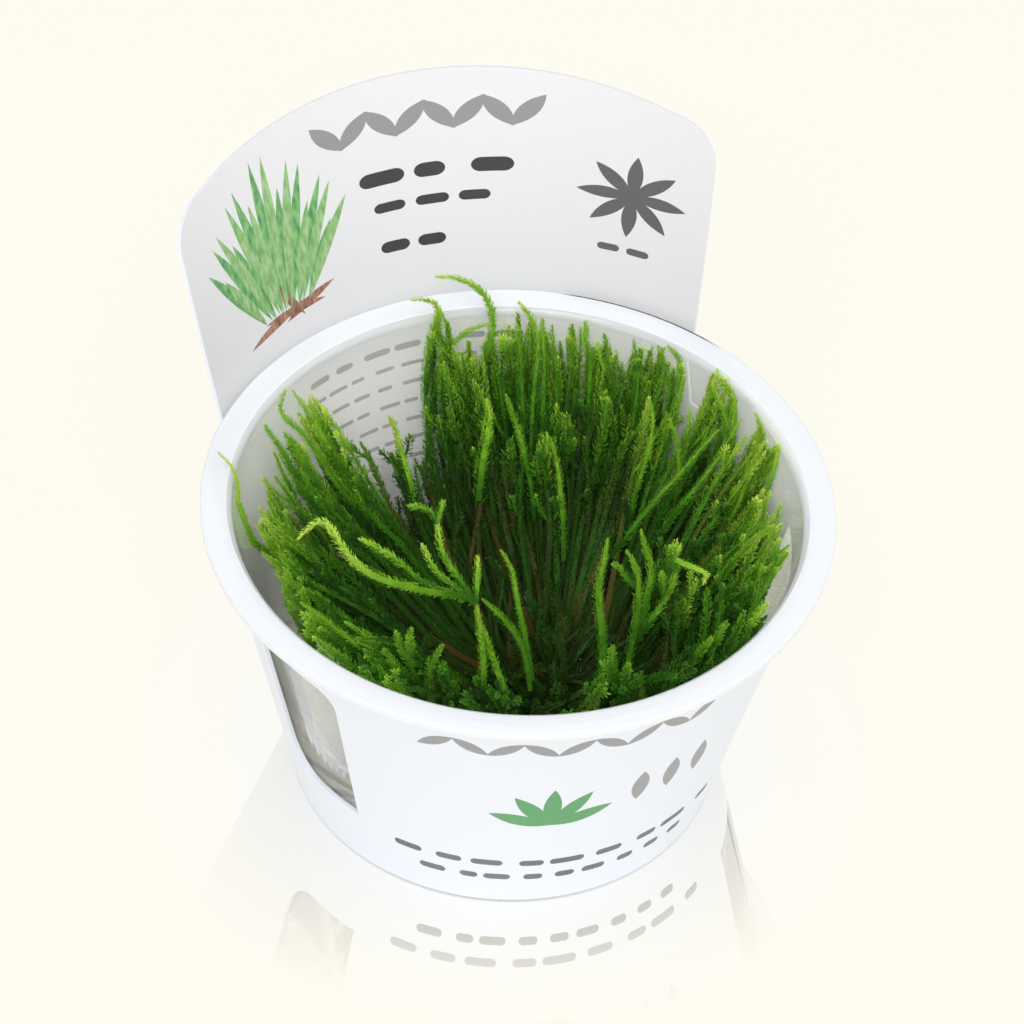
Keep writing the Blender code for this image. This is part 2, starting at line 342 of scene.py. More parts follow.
def moulded_plastic(name, clearness, tint, let_through):
    """Polypropylene with a moulded, slightly uneven gloss, and a painted shade line on the flange's outer
    edge. Light from all round passes through it unbent.
    """
    material, tree, shader = new_material(name, IOR=PLASTIC_IOR, Transmission_Weight=clearness)
    spot = add(tree, "ShaderNodeTexCoord").outputs["Object"]
    flow = add(tree, "ShaderNodeTexNoise", spot, None, FLOW_SCALE, 3.0)
    tone = mottled(tree, flow, tint, FLOW_DEPTH)
    gloss = add(tree, "ShaderNodeMapRange", flow, 0.3, 0.7, *PLASTIC_ROUGHNESS)
    path = add(tree, "ShaderNodeLightPath")
    soft_light = maths(tree, "MAXIMUM", path.outputs["Is Shadow Ray"], path.outputs["Is Diffuse Ray"])
    blocked = maths(tree, "SUBTRACT", 1.0, maths(tree, "MULTIPLY", soft_light, let_through))
    # Painted shade: the fine dark line along the flange's outer edge is mixed into the base colour here.
    colour = add(tree, "ShaderNodeMixRGB", painted_shade_line(tree, spot), tone, SHADE_LINE_COLOUR)
    feed(tree, shader.inputs["Base Color"], colour)
    feed(tree, shader.inputs["Roughness"], gloss)
    feed(tree, shader.inputs["Alpha"], blocked)
    return material


PLASTICS = [
    moulded_plastic("clear_wall", WALL_CLEARNESS, WALL_TINT, 1.0),
    moulded_plastic("milky_flange", FLANGE_CLEARNESS, FLANGE_TINT, LET_THROUGH),
    moulded_plastic("shaded_milky_fillet", FILLET_CLEARNESS, FILLET_SHADE_TINT, LET_THROUGH),
]
print("the plastics are", [plastic.name for plastic in PLASTICS])


# %% Spin the cup
CUP_SEGMENTS = 160
WELD = 0.001 * MM
FILLET_STRIP = 0.75 * MM


def finish_piece(name, mesh, materials, slot, *nodes):
    """Makes a shown piece of a bmesh, with smooth faces, its finish and the solids that it stands for."""
    data = bpy.data.meshes.new(name)
    mesh.to_mesh(data)
    mesh.free()
    data.shade_smooth()
    for material in materials:
        data.materials.append(material)
    show_piece(data, slot, *nodes)


def show_piece(data, slot, *nodes):
    piece = put_in_scene(data.name, data)
    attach(piece, "root")
    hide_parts(*nodes)
    print(piece.name, "has", len(data.polygons), "faces")


def spin_cup():
    mesh = bmesh.new()
    points = [mesh.verts.new((radius, 0, height)) for radius, height in cup_section()]
    edges = [mesh.edges.new(pair) for pair in zip(points, points[1:])]
    turn = {"axis": (0, 0, 1), "cent": (0, 0, 0), "angle": math.tau, "steps": CUP_SEGMENTS}
    bmesh.ops.spin(mesh, geom=points + edges, use_merge=True, **turn)
    bmesh.ops.remove_doubles(mesh, verts=mesh.verts, dist=WELD)
    bmesh.ops.recalc_face_normals(mesh, faces=mesh.faces)
    for face in mesh.faces:
        middle = face.calc_center_median()
        # The flange takes the milky plastic. A strip of the fillet at the opening takes the darker tint,
        # which is painted shade.
        if middle.z > RIM_HEIGHT - FLANGE_FILLET:
            face.material_index = 1 if middle.xy.length > OPENING_RADIUS + FILLET_STRIP else 2
    finish_piece("clear_cup", mesh, PLASTICS, "cup_plastic", "cup")


spin_cup()

# %% [markdown]
# ## The card sleeve
#
# The sleeve is one die-cut sheet of coated card, rolled round the cup and glued. It is made the same way
# here: the outline and its two windows are drawn flat, filled, creased into narrow strips and rolled. The
# flat place of every point is kept as the sheet's UV map, in millimetres, because the print was laid on
# the flat sheet too.

# %% Draw the flat sheet
SLEEVE_BOTTOM = sleeve_low.z
SHEET_FOOT = 0.25 * MM
SLEEVE_TOP = 41.8 * MM
HEADER_ANGLE = 90.0
HEADER_TAPER = 0.32
HEADER_FOOT_SPAN = 50.2
HEADER_SIDE_SPAN = 46.6
HEADER_SIDE_TOP = 64 * MM
HEADER_SHOULDER_SPAN = 38.5
HEADER_SHOULDER_TOP = 69.8 * MM
HEADER_TOP = sleeve_high.z
HEADER_RIGHT_STRETCH = 1.04
SLIT = ((0.5, 0), (4.2, 6.0), (17, 6.0), (17, 6.25), (3.8, 6.25))
WINDOW_CENTRE = 112.0
WINDOW_SPAN = 23.0
WINDOW_LOW = 11.2 * MM
WINDOW_HIGH = 37.2 * MM
WINDOW_CORNER = 3.0 * MM
WINDOW_FOOT_CORNER = 5.0 * MM
FLAT_RADIUS = 33 * MM
SEAM_SPAN = 76.0


def on_sheet(span, height):
    """A point of the flat sheet: degrees round from the header's middle, and the height."""
    return Vector((math.radians(span) * FLAT_RADIUS, height, 0))


def header_outline():
    """Points (span, height) down half of the header: the arch, the round shoulder and the straight side."""
    drop = HEADER_TOP - HEADER_SHOULDER_TOP
    arch = [(HEADER_SHOULDER_SPAN * step / 10, HEADER_TOP - drop * (step / 10) ** 2) for step in range(11)]
    shoulder = []
    for step in range(1, 9):
        angle = math.radians(90 * step / 8)
        span = HEADER_SHOULDER_SPAN + (HEADER_SIDE_SPAN - HEADER_SHOULDER_SPAN) * math.sin(angle)
        height = HEADER_SIDE_TOP + (HEADER_SHOULDER_TOP - HEADER_SIDE_TOP) * math.cos(angle)
        shoulder.append((span, height))
    return arch + shoulder + [(HEADER_FOOT_SPAN, SLEEVE_TOP)]


def sheet_outline():
    half = header_outline()
    right = [(span * HEADER_RIGHT_STRETCH, height) for span, height in reversed(half)]
    left = [(-span, height) for span, height in half[1:]]
    foot = right[0][0]
    slit = [(foot + span, SLEEVE_TOP - drop * MM) for span, drop in SLIT]
    far = SEAM_SPAN - 360
    ends = [(far, SLEEVE_TOP), (far, SHEET_FOOT), (SEAM_SPAN, SHEET_FOOT)]
    return [on_sheet(*point) for point in [(SEAM_SPAN, SLEEVE_TOP)] + slit + right + left + ends]


def draw_loop(mesh, points):
    corners = [mesh.verts.new(point) for point in points]
    for index, corner in enumerate(corners):
        mesh.edges.new((corner, corners[(index + 1) % len(corners)]))
    return corners


def draw_window(mesh, side):
    """One window, with the corner above the front and the far foot corner rounded by a bevel."""
    centre = -WINDOW_CENTRE if side < 0 else WINDOW_CENTRE - 360
    near = centre + side * WINDOW_SPAN / 2
    far = centre - side * WINDOW_SPAN / 2
    spots = [(near, WINDOW_HIGH), (near, WINDOW_LOW), (far, WINDOW_LOW), (far, WINDOW_HIGH)]
    corners = draw_loop(mesh, [on_sheet(span, height) for span, height in spots])
    rounding = {"affect": "VERTICES", "offset_type": "OFFSET", "segments": 6, "profile": 0.5, "material": -1}
    for corner, size in ((corners[0], WINDOW_CORNER), (corners[2], WINDOW_FOOT_CORNER)):
        bmesh.ops.bevel(mesh, geom=[corner], offset=size, **rounding)


# %% Crease the sheet
ROLL_STEP = 2.0
PANE_HEIGHT = 3.4 * MM


def crease(mesh):
    """Cuts the filled sheet into a grid of small panes and takes out the fill's slanting edges."""
    strips = range(1, round(360 / ROLL_STEP))
    cuts = [(on_sheet(SEAM_SPAN - step * ROLL_STEP, 0), (1, 0, 0)) for step in strips]
    height = SLEEVE_BOTTOM + PANE_HEIGHT
    while height < HEADER_TOP:
        cuts.append((on_sheet(0, height), (0, 1, 0)))
        height += PANE_HEIGHT
    for place, normal in cuts:
        geometry = mesh.verts[:] + mesh.edges[:] + mesh.faces[:]
        bmesh.ops.bisect_plane(mesh, geom=geometry, dist=WELD, plane_co=place, plane_no=normal)
    slanting = []
    for edge in mesh.edges:
        run = edge.verts[0].co - edge.verts[1].co
        if len(edge.link_faces) == 2 and min(abs(run.x), abs(run.y)) > WELD:
            slanting.append(edge)
    bmesh.ops.dissolve_edges(mesh, edges=slanting, use_verts=False)


# %% Roll the sheet
CARD = 0.45 * MM
CARD_GAP = 0.3 * MM
FLARE_END = 84.0
SEAM_WELD = 0.01 * MM


def smooth_step(value):
    clamped = min(1.0, max(0.0, value))
    return clamped * clamped * (3 - 2 * clamped)


def sleeve_radius(span, height):
    """The radius of the card's outer face. It hugs the cup at the front and leans past the flange behind."""
    offset = abs((span + 180) % 360 - 180)
    flare = smooth_step((FLARE_END - offset) / (FLARE_END - HEADER_FOOT_SPAN))
    taper = CUP_TAPER + (HEADER_TAPER - CUP_TAPER) * flare
    foot = cup_inner_radius(SLEEVE_BOTTOM) + CUP_WALL + CARD_GAP + CARD
    return foot + (height - SLEEVE_BOTTOM) * taper


def roll_sheet(mesh):
    sheet = mesh.loops.layers.uv.new("sheet")
    for face in mesh.faces:
        for loop in face.loops:
            loop[sheet].uv = (loop.vert.co.x / MM, loop.vert.co.y / MM)
    for corner in mesh.verts:
        span = math.degrees(corner.co.x / FLAT_RADIUS)
        corner.co = polar(sleeve_radius(span, corner.co.y), HEADER_ANGLE - span, corner.co.y)
    bmesh.ops.remove_doubles(mesh, verts=mesh.verts, dist=SEAM_WELD)


# %% Give the sheet its thickness
CRISP_ANGLE = math.radians(50)


def thicken(mesh):
    """Gives the rolled sheet its thickness, crisp edges, and a finish each for outside, inside and edges."""
    bmesh.ops.solidify(mesh, geom=mesh.faces[:], thickness=CARD)
    bmesh.ops.recalc_face_normals(mesh, faces=mesh.faces)
    for face in mesh.faces:
        middle = face.calc_center_median()
        outward = face.normal.xy.dot(middle.xy.normalized())
        face.material_index = 0 if outward > 0.5 else 1 if outward < -0.5 else 2
    for edge in mesh.edges:
        edge.smooth = edge.calc_face_angle(0) < CRISP_ANGLE


def cut_sleeve():
    mesh = bmesh.new()
    draw_loop(mesh, sheet_outline())
    for side in (1, -1):
        draw_window(mesh, side)
    bmesh.ops.triangle_fill(mesh, edges=mesh.edges[:], use_beauty=True, use_dissolve=False)
    crease(mesh)
    roll_sheet(mesh)
    bmesh.ops.recalc_face_normals(mesh, faces=mesh.faces)
    thicken(mesh)
    return mesh


sheet_mesh = cut_sleeve()
print("the rolled sheet has", len(sheet_mesh.faces), "faces")

# %% [markdown]
# ## The print
#
# The card is printed in grey and green on both faces, with plain marks of its own: rows of round-ended
# bars, garlands of leaves, and a clump of water grass. Each mark is a mask worked out from the sheet's UV
# map, so it stays sharp at any distance. Two node groups hold the masks: a row of bars, and a leaf.

# %% Groups for a row of bars and for a leaf
def row_of_bars():
    """A mask of round-ended bars in a row. Each cell of one pitch holds a bar of a random length."""
    sockets = {name: "Float" for name in ("Left", "Right", "Middle", "Half", "Pitch", "Seed")}
    group, given, result = new_group("row_of_bars", {"Sheet": "Vector", **sockets}, {"Mask": "Float"})
    spot = add(group, "ShaderNodeSeparateXYZ", given.outputs["Sheet"])
    across, half = spot.outputs["X"], given.outputs["Half"]
    cell = maths(group, "DIVIDE", across, given.outputs["Pitch"])
    whole = maths(group, "FLOOR", cell)
    number = maths(group, "ADD", whole, given.outputs["Seed"])
    chance = add(group, "ShaderNodeTexWhiteNoise", noise_dimensions="1D")
    feed(group, chance.inputs["W"], number)
    filled = add(group, "ShaderNodeMapRange", chance.outputs["Value"], 0.0, 1.0, 0.55, 0.9)
    reach = maths(group, "MULTIPLY", maths(group, "MULTIPLY", filled, given.outputs["Pitch"]), 0.5)
    start = maths(group, "MULTIPLY", maths(group, "FRACT", cell), given.outputs["Pitch"])
    from_middle = maths(group, "ABSOLUTE", maths(group, "SUBTRACT", start, reach))
    straight = maths(group, "SUBTRACT", reach, half)
    past_end = maths(group, "MAXIMUM", maths(group, "SUBTRACT", from_middle, straight), 0.0)
    rise = maths(group, "SUBTRACT", spot.outputs["Y"], given.outputs["Middle"])
    squares = maths(group, "ADD", maths(group, "POWER", past_end, 2.0), maths(group, "MULTIPLY", rise, rise))
    shown = maths(group, "LESS_THAN", maths(group, "SQRT", squares), half)
    cell_middle = maths(group, "MULTIPLY", maths(group, "ADD", whole, 0.5), given.outputs["Pitch"])
    for operation, limit in (("GREATER_THAN", "Left"), ("LESS_THAN", "Right")):
        shown = maths(group, "MULTIPLY", shown, maths(group, operation, cell_middle, given.outputs[limit]))
    feed(group, result.inputs["Mask"], shown)
    return group


def leaf_mark():
    """A mask of one pointed leaf. Its place, turn, length and width come through a Mapping node."""
    sockets = {"Sheet": "Vector", "Place": "Vector", "Turn": "Vector", "Size": "Vector"}
    group, given, result = new_group("leaf_mark", sockets, {"Mask": "Float"})
    local = add(group, "ShaderNodeMapping", *[given.outputs[name] for name in sockets], vector_type="TEXTURE")
    spot = add(group, "ShaderNodeSeparateXYZ", local)
    along = maths(group, "MULTIPLY", spot.outputs["X"], spot.outputs["X"])
    across = maths(group, "ABSOLUTE", spot.outputs["Y"])
    feed(group, result.inputs["Mask"], maths(group, "LESS_THAN", maths(group, "ADD", along, across), 1.0))
    return group


ROW_OF_BARS = row_of_bars()
LEAF_MARK = leaf_mark()
print("the groups have", len(ROW_OF_BARS.nodes), "and", len(LEAF_MARK.nodes), "nodes")


# %% Marks of the print
def sheet_place(azimuth):
    """Where a direction round the cup lies across the flat sheet, in mm."""
    return math.radians(HEADER_ANGLE - azimuth) * FLAT_RADIUS / MM


def bars(tree, sheet, azimuths, height, thickness, pitch, seed=0):
    """A row of bars between two azimuths, at a height and of a thickness and pitch in mm."""
    right, left = sorted(sheet_place(azimuth) for azimuth in azimuths)
    node = add(tree, "ShaderNodeGroup", node_tree=ROW_OF_BARS)
    for socket, value in enumerate((sheet, right, left, height, thickness / 2, pitch, seed)):
        feed(tree, node.inputs[socket], value)
    return node


def leaf(tree, sheet, azimuth, height, turn, length, width):
    """A leaf whose middle is at an azimuth and a height in mm, turned anticlockwise from level in degrees."""
    node = add(tree, "ShaderNodeGroup", node_tree=LEAF_MARK)
    middle = (sheet_place(azimuth), height, 0)
    size = (length / 2, width / 2, 1)
    for socket, value in enumerate((sheet, middle, (0, 0, math.radians(turn)), size)):
        feed(tree, node.inputs[socket], value)
    return node


def fan(tree, sheet, azimuth, height, turns, length, width):
    """Leaves that spread from one point, like a seedling's."""
    leaves_in_fan = []
    for turn in turns:
        angle = math.radians(turn)
        shift = math.degrees(length / 2 * math.cos(angle) * MM / FLAT_RADIUS)
        middle = height + length / 2 * math.sin(angle)
        leaves_in_fan.append(leaf(tree, sheet, azimuth - shift, middle, turn, length, width))
    return leaves_in_fan


def any_of(tree, masks):
    total = masks[0]
    for mask in masks[1:]:
        total = maths(tree, "MAXIMUM", total, mask)
    return total


# %% [markdown]
# ## The coated card
#
# Coated card is white, smooth and nearly matt, with a faint mottle where the fibres show through its clay.
# A noise this fine serves for colour, gloss and relief alike. The inks are laid over the white by the
# marks' masks, as a press does, so they follow the card and add no thickness.

# %% Coated card
OUTER_WHITE = (0.855, 0.895, 0.99)
INNER_WHITE = (0.9, 0.895, 0.925)
CARD_IOR = 1.5
CARD_ROUGHNESS = (0.36, 0.48)
FIBRE_SCALE = 900.0
FIBRE_DEPTH = 0.98
FIBRE_RELIEF = 0.05 * MM


def coated_card(name, white, print_layers):
    """White clay-coated card. print_layers gives [(mask, ink)] for a tree and the sheet's UV map."""
    material, tree, shader = new_material(name, IOR=CARD_IOR)
    sheet = add(tree, "ShaderNodeUVMap", uv_map="sheet").outputs["UV"]
    spot = add(tree, "ShaderNodeTexCoord").outputs["Object"]
    fibres = add(tree, "ShaderNodeTexNoise", spot, None, FIBRE_SCALE, 4.0)
    colour = mottled(tree, fibres, white, FIBRE_DEPTH)
    for mask, ink in print_layers(tree, sheet):
        colour = add(tree, "ShaderNodeMixRGB", mask, colour, ink)
    feed(tree, shader.inputs["Base Color"], colour)
    gloss = add(tree, "ShaderNodeMapRange", fibres, 0.3, 0.7, *CARD_ROUGHNESS)
    feed(tree, shader.inputs["Roughness"], gloss)
    bump = add(tree, "ShaderNodeBump", 0.08, FIBRE_RELIEF)
    feed(tree, bump.inputs["Height"], fibres)
    feed(tree, shader.inputs["Normal"], bump)
    return material


# %% Inks
DARK_INK = (0.05, 0.05, 0.055, 1)
GREY_INK = (0.33, 0.33, 0.35, 1)
MID_INK = (0.13, 0.13, 0.14, 1)
GREEN_INK = (0.10, 0.36, 0.13, 1)
GRASS_INKS = ((0.07, 0.32, 0.11, 1), (0.30, 0.60, 0.22, 1))
FERN_INKS = ((0.20, 0.45, 0.13, 1), (0.45, 0.68, 0.34, 1))
WOOD_INKS = ((0.22, 0.09, 0.06, 1), (0.55, 0.30, 0.22, 1))


def watercolour(tree, sheet, inks):
    """An ink that runs unevenly between a deep and a pale tone, in streaks as long as a blade."""
    streaks = add(tree, "ShaderNodeMapping", sheet, None, None, (2.2, 0.5, 1))
    blots = add(tree, "ShaderNodeTexNoise", streaks, None, 1.0, 4.0)
    tone = add(tree, "ShaderNodeMapRange", blots, 0.35, 0.65)
    return add(tree, "ShaderNodeMixRGB", tone, *inks)


# %% Lay out the print
def front_print(tree, sheet):
    """The outer face: a garland of leaves, a seedling, a row of drops, and two rows of bars at the foot."""
    garland = []
    for step in range(9):
        azimuth = 236 + step * 7
        garland.append(leaf(tree, sheet, azimuth, 37.2, 35 if step % 2 else -35, 5.2, 1.7))
    rows = [bars(tree, sheet, (225, 309), 9.6, 1.3, 5.8, 5), bars(tree, sheet, (228, 306), 6.2, 1.3, 4.7, 2)]
    seedling = fan(tree, sheet, 261, 19, (20, 55, 90, 125, 160), 8.5, 2.3)
    drops = [leaf(tree, sheet, azimuth, 24, 90, 6.5, 2.4) for azimuth in (281, 289, 297)]
    return [
        (any_of(tree, garland + drops), GREY_INK),
        (any_of(tree, rows), MID_INK),
        (any_of(tree, seedling), GREEN_INK),
    ]


def header_print(tree, sheet):
    """The header's inner face: a garland, three rows, tall water blades, a rosette, and small rows below."""
    garland = []
    for step in range(8):
        azimuth = 104 - step * 4.6
        garland.append(leaf(tree, sheet, azimuth, 67.2, 55 if step % 2 else 125, 5.2, 1.8))
    lines = [
        bars(tree, sheet, (74, 100), 60.0, 1.9, 5.4, 4),
        bars(tree, sheet, (76, 98), 56.0, 1.3, 4.2, 8),
        bars(tree, sheet, (80, 95), 50.6, 1.5, 3.9, 9),
    ]
    rosette = fan(tree, sheet, 54, 57.5, range(0, 360, 45), 5.4, 1.5)
    rosette.append(bars(tree, sheet, (49, 59), 50.3, 0.9, 3.0, 1))
    small = [bars(tree, sheet, (66, 116), 38.5, 0.9, 3.9, 4)]
    small += [bars(tree, sheet, (66, 116), 38.5 - 2.7 * row, 0.55, 3.3, row * 7) for row in range(1, 7)]
    blades = []
    for step in range(18):
        lean = (step - 8.5) / 8.5
        length = 22 - 9 * abs(lean) - 4 * (step % 3 == 1)
        turn = 90 - 26 * lean
        middle = 46.5 + length / 2 * math.sin(math.radians(turn))
        azimuth = 117 - 7.5 * lean - 4 * lean * length / 20
        blades.append(leaf(tree, sheet, azimuth, middle + 1.2, turn, length, 1.2))
    twigs = []
    for azimuth, height, turn, length in (
        (119.5, 47, 14, 9),
        (115.5, 47.3, -4, 8),
        (112, 47.6, 22, 7),
        (117, 50, 118, 9),
    ):
        twigs.append(leaf(tree, sheet, azimuth, height, turn, length, 1.1))
    return [
        (any_of(tree, garland), GREY_INK),
        (any_of(tree, lines), DARK_INK),
        (any_of(tree, rosette + small), MID_INK),
        (any_of(tree, blades[::2]), watercolour(tree, sheet, GRASS_INKS)),
        (any_of(tree, twigs), watercolour(tree, sheet, WOOD_INKS)),
        (any_of(tree, blades[1::2]), watercolour(tree, sheet, FERN_INKS)),
    ]


def no_print(tree, sheet):
    """The cut edge of the card carries no ink."""
    return []


# %% Dress the sleeve
finishes = [
    coated_card("card_outside", OUTER_WHITE, front_print),
    coated_card("card_inside", INNER_WHITE, header_print),
    coated_card("card_edge", OUTER_WHITE, no_print),
]
finish_piece("card_sleeve", sheet_mesh, finishes, "sleeve_card", "sleeve")

# %% [markdown]
# ## The moss
#
# A moss shoot is a thin stem with hundreds of small pointed leaves set round it in a spiral. The tuft is
# several hundred such shoots, gathered in the locks of the solids: the same starts, bows and tips, spread
# from one root like a fan. Every leaf is a folded blade of two triangles, placed by arrays of numbers,
# because hundreds of thousands of them would be far too slow one by one.

# %% The locks of the solids
ROOT = Vector((7, 1, 0)) * MM
LOCK_START = 6.5 * MM
LOCK_START_HEIGHT = 4 * MM
LOCK_MARGIN = 24.0

# Each sheaf: the sector about the root that it fills, in degrees, then its locks. A lock is the tip's
# azimuth about the cup's axis in degrees, its distance from that axis and its height in mm, and its upward
# bow in mm.
SHEAVES = {
    "moss_back": (
        (46, 120),
        [
            (110, 26, 33, 0), (96, 34, 47, 2), (89, 34, 44, 1), (80, 34, 50, 3), (84, 27, 40, 1),
            (74, 33, 43, 0), (70, 34, 44, 1), (66, 33, 43, 0), (62, 33, 42, 1), (58, 34, 44, 0),
            (54, 33, 42, 1), (49, 33, 42, 0), (82, 23, 36, 1), (73, 22, 34, 0), (61, 20, 37, 1),
            (58, 26, 36, 0), (47, 28, 38, 1), (44, 34, 43, 0),
        ],
    ),
    "moss_left": (
        (120, 205),
        [
            (124, 34, 41, 1), (129, 33, 40, 1), (134, 33, 38, 0), (140, 33, 39, 1), (148, 33, 39, 1),
            (153, 37, 46, 2), (156, 32, 38, 0), (162, 33, 39, 1), (169, 32, 38, 1), (176, 31, 36, 1),
            (183, 30, 35, 1), (190, 30, 36, 1), (196, 29, 35, 1), (136, 25, 27, 0), (150, 25, 29, 1),
            (164, 24, 29, 1), (172, 27, 44, 8), (180, 24, 28, 1), (178, 13, 36, 2), (150, 15, 30, 1),
        ],
    ),
    "moss_front": (
        (205, 316),
        [
            (203, 26, 36, 2), (210, 28, 36, 1), (219, 29, 36, 1), (214, 21, 33, 1), (226, 22, 35, 1),
            (215, 10, 40, 1), (236, 27, 33, 1), (245, 22, 34, 0), (252, 27, 30, 1), (266, 26, 31, 1),
            (280, 24, 35, 1), (290, 25, 33, 1), (302, 26, 31, 1), (318, 16, 37, 1), (312, 27, 31, 1),
            (270, 17, 26, 0),
        ],
    ),
    "moss_right": (
        (316, 406),
        [
            (32, 34, 42, 0), (27, 34, 43, 1), (23, 29, 34, 0), (16, 34, 42, 1), (11, 34, 41, 0),
            (5, 34, 42, 1), (358, 33, 39, 0), (350, 32, 40, 1), (343, 33, 41, 1), (335, 33, 38, 1),
            (328, 32, 34, 1), (345, 20, 37, 1), (330, 24, 36, 2), (20, 26, 33, 0), (4, 26, 30, 1),
            (346, 27, 29, 1),
        ],
    ),
}
print("the solids have", sum(len(locks) for _, locks in SHEAVES.values()), "locks")


def lock_line(sector, lock):
    """The lock's three control points: its start in the crown, the bow and the tip."""
    azimuth, reach, height, bow = lock
    tip = polar(reach * MM, azimuth, height * MM)
    towards = math.degrees(math.atan2(tip.y - ROOT.y, tip.x - ROOT.x))
    low, high = sector
    middle = (low + high) / 2
    towards = middle + (towards - middle + 180) % 360 - 180
    towards = min(high - LOCK_MARGIN, max(low + LOCK_MARGIN, towards))
    start = ROOT + polar(LOCK_START, towards, LOCK_START_HEIGHT)
    return start, (start + tip) / 2 + Vector((0, 0, 2 * bow * MM)), tip


# %% Helpers for lines
STATIONS = 14
WALL_GAP = 0.4 * MM
OVER_RIM = 4.0
WAVES = (3.5, 8)


def unit(vectors):
    return vectors / np.linalg.norm(vectors, axis=-1, keepdims=True).clip(1e-9)


def bezier(points, share):
    start, bow, tip = (np.array(point) for point in points)
    share = share[:, None]
    return start * (1 - share) ** 2 + bow * 2 * share * (1 - share) + tip * share**2


def keep_in_cup(points):
    """Pulls points off the inner wall. Above the rim they may hang out over the flange."""
    height = points[..., 2]
    wall = cup_inner_radius(np.minimum(height, RIM_HEIGHT - FLANGE_FILLET)) - WALL_GAP
    wall += OVER_RIM * (height - RIM_HEIGHT - WALL_GAP).clip(0)
    outside = np.hypot(points[..., 0], points[..., 1])
    points[..., :2] *= np.minimum(1, wall / outside.clip(1e-6))[..., None]
    points[..., 2] = points[..., 2].clip(CUP_FLOOR + WALL_GAP)
    return points


def wavy(line, size, chance):
    """Lets a line wander a little to both sides, more towards its tip."""
    share = np.linspace(0, 1, len(line))
    along = unit(line[-1] - line[0])
    side = unit(np.cross(along, (0.1, 0.2, 1)))
    up = np.cross(side, along)
    bend = chance.uniform(-1, 1, (2, 2)) * size
    wave = np.sin(np.outer(share, WAVES) + chance.uniform(0, 6, 2)) @ bend * share[:, None]
    return line + side * wave[:, :1] + up * wave[:, 1:]


# %% Spread the long shoots
SHOOTS_PER_LOCK = {"moss_back": 8, "moss_left": 10, "moss_front": 8, "moss_right": 8}
STRAY_HEIGHT = 45
STRAY_BOW = 3
SPRIG_REACH = 18
TIP_SHIFT = 1.15 * MM
TIP_DROP = 0.3
CROWN_REACH = {"moss_back": 17, "moss_left": 17, "moss_front": 17, "moss_right": 24}
DROP_RARITY = 2.5
CROWN_SHARES = (0.15, 1)
START_HEIGHTS = (2, 7)
SIDE_SPREAD = 17.1
LEAN = 0.4
BOW_OUT = (0.5, 0.8)
BOW_UP = (0.28, 0.5)
WANDER = 1.0 * MM

# Further tips where the tuft is closed but the solids' locks leave room between them.
BETWEEN_LOCKS = {
    "moss_back": [
        (41, 35, 43, 0), (38, 35, 42, 0), (46, 34, 42, 0), (53, 33, 43, 0), (78, 34, 42, 0),
        (86, 32, 42, 0), (90, 31, 40, 0), (83, 31, 40, 0), (93, 28, 34, 0), (98, 25, 28, 0),
        (106, 24, 24, 0),
    ],
    "moss_left": [(114, 24, 24, 0), (123, 24, 25, 0), (131, 24, 26, 0)],
    "moss_front": [],
    "moss_right": [
        (36, 29, 40, 0), (31, 30, 38, 0), (26, 36, 44, 0), (23, 35.5, 43.5, 0), (9, 36, 42.5, 0),
        (4, 36, 42, 0), (353, 33, 40, 0), (339, 34, 40, 0), (335, 31, 36, 0), (332, 28, 34, 0),
        (325, 32, 36, 0),
    ],
}

# Locks that stay single shoots, because the wall shows beside them.
LONE_LOCKS = (
    (32, 34, 42, 0), (27, 34, 43, 1), (23, 29, 34, 0), (20, 26, 33, 0), (16, 34, 42, 1), (11, 34, 41, 0),
)


def lock_shoot(sector, lock, crown, chance):
    """A shoot beside a lock's own line: where it starts, its bow, its tip, and how far below it ends."""
    start, _, tip = (np.array(point) for point in lock_line(sector, lock))
    drop = TIP_DROP * chance.uniform(0, 1) ** DROP_RARITY
    tip = tip + (start - tip) * drop + chance.normal(0, 1, 3) * TIP_SHIFT * (0.5 + 2 * drop)
    level = tip[:2] - np.array(ROOT)[:2]
    towards = math.degrees(math.atan2(level[1], level[0]))
    from_middle = (towards - sum(sector) / 2 + 180) % 360 - 180
    reach = chance.uniform(*CROWN_SHARES) * crown
    azimuth = towards + LEAN * from_middle + chance.normal(0, SIDE_SPREAD)
    start = np.array(ROOT + polar(reach * MM, azimuth, chance.uniform(*START_HEIGHTS) * MM))
    out = chance.uniform(*BOW_OUT)
    bow = start + (tip - start) * (out, out, chance.uniform(*BOW_UP))
    return (start, bow, tip), drop


def long_shoots(node, chance):
    """The full locks' own lines, then shoots whose tips lie round and below theirs, and each one's drop."""
    sector, locks = SHEAVES[node]
    full = []
    for lock in locks:
        if lock[1] > SPRIG_REACH and lock[2] < STRAY_HEIGHT and lock[3] <= STRAY_BOW:
            full.append(lock)
    full += BETWEEN_LOCKS[node]
    controls = [(lock_line(sector, lock), 0) for lock in full]
    for lock in (SHOOTS_PER_LOCK[node] - 1) * [lock for lock in full if lock not in LONE_LOCKS]:
        controls.append(lock_shoot(sector, lock, CROWN_REACH[node], chance))
    steps = np.linspace(0, 1, STATIONS)
    lines = [wavy(bezier(control, steps), WANDER, chance) for control, _ in controls]
    return lines, np.array([drop for _, drop in controls])


# %% [markdown]
# ## The low growth
#
# Between the long shoots the real tuft is filled with shorter ones, so no floor shows; their dull dark greens
# are partly painted shade, as they stand deep in the tuft. They could be modelled as one dark lump, but light
# falls between real shoots. So they are grown like the long ones, all round the root and at every slope.

# %% Fill the sheaves between their locks
UNDERGROWTH = 420
LOW_REACH = (-5, 17)
LOW_HEIGHTS = (1, 6)
LOW_SLOPES = (5, 75)
LOW_LENGTHS = (10, 20)
LOW_BOWS = (-0.05, 0.1)
LOW_WANDER = 1.5 * MM


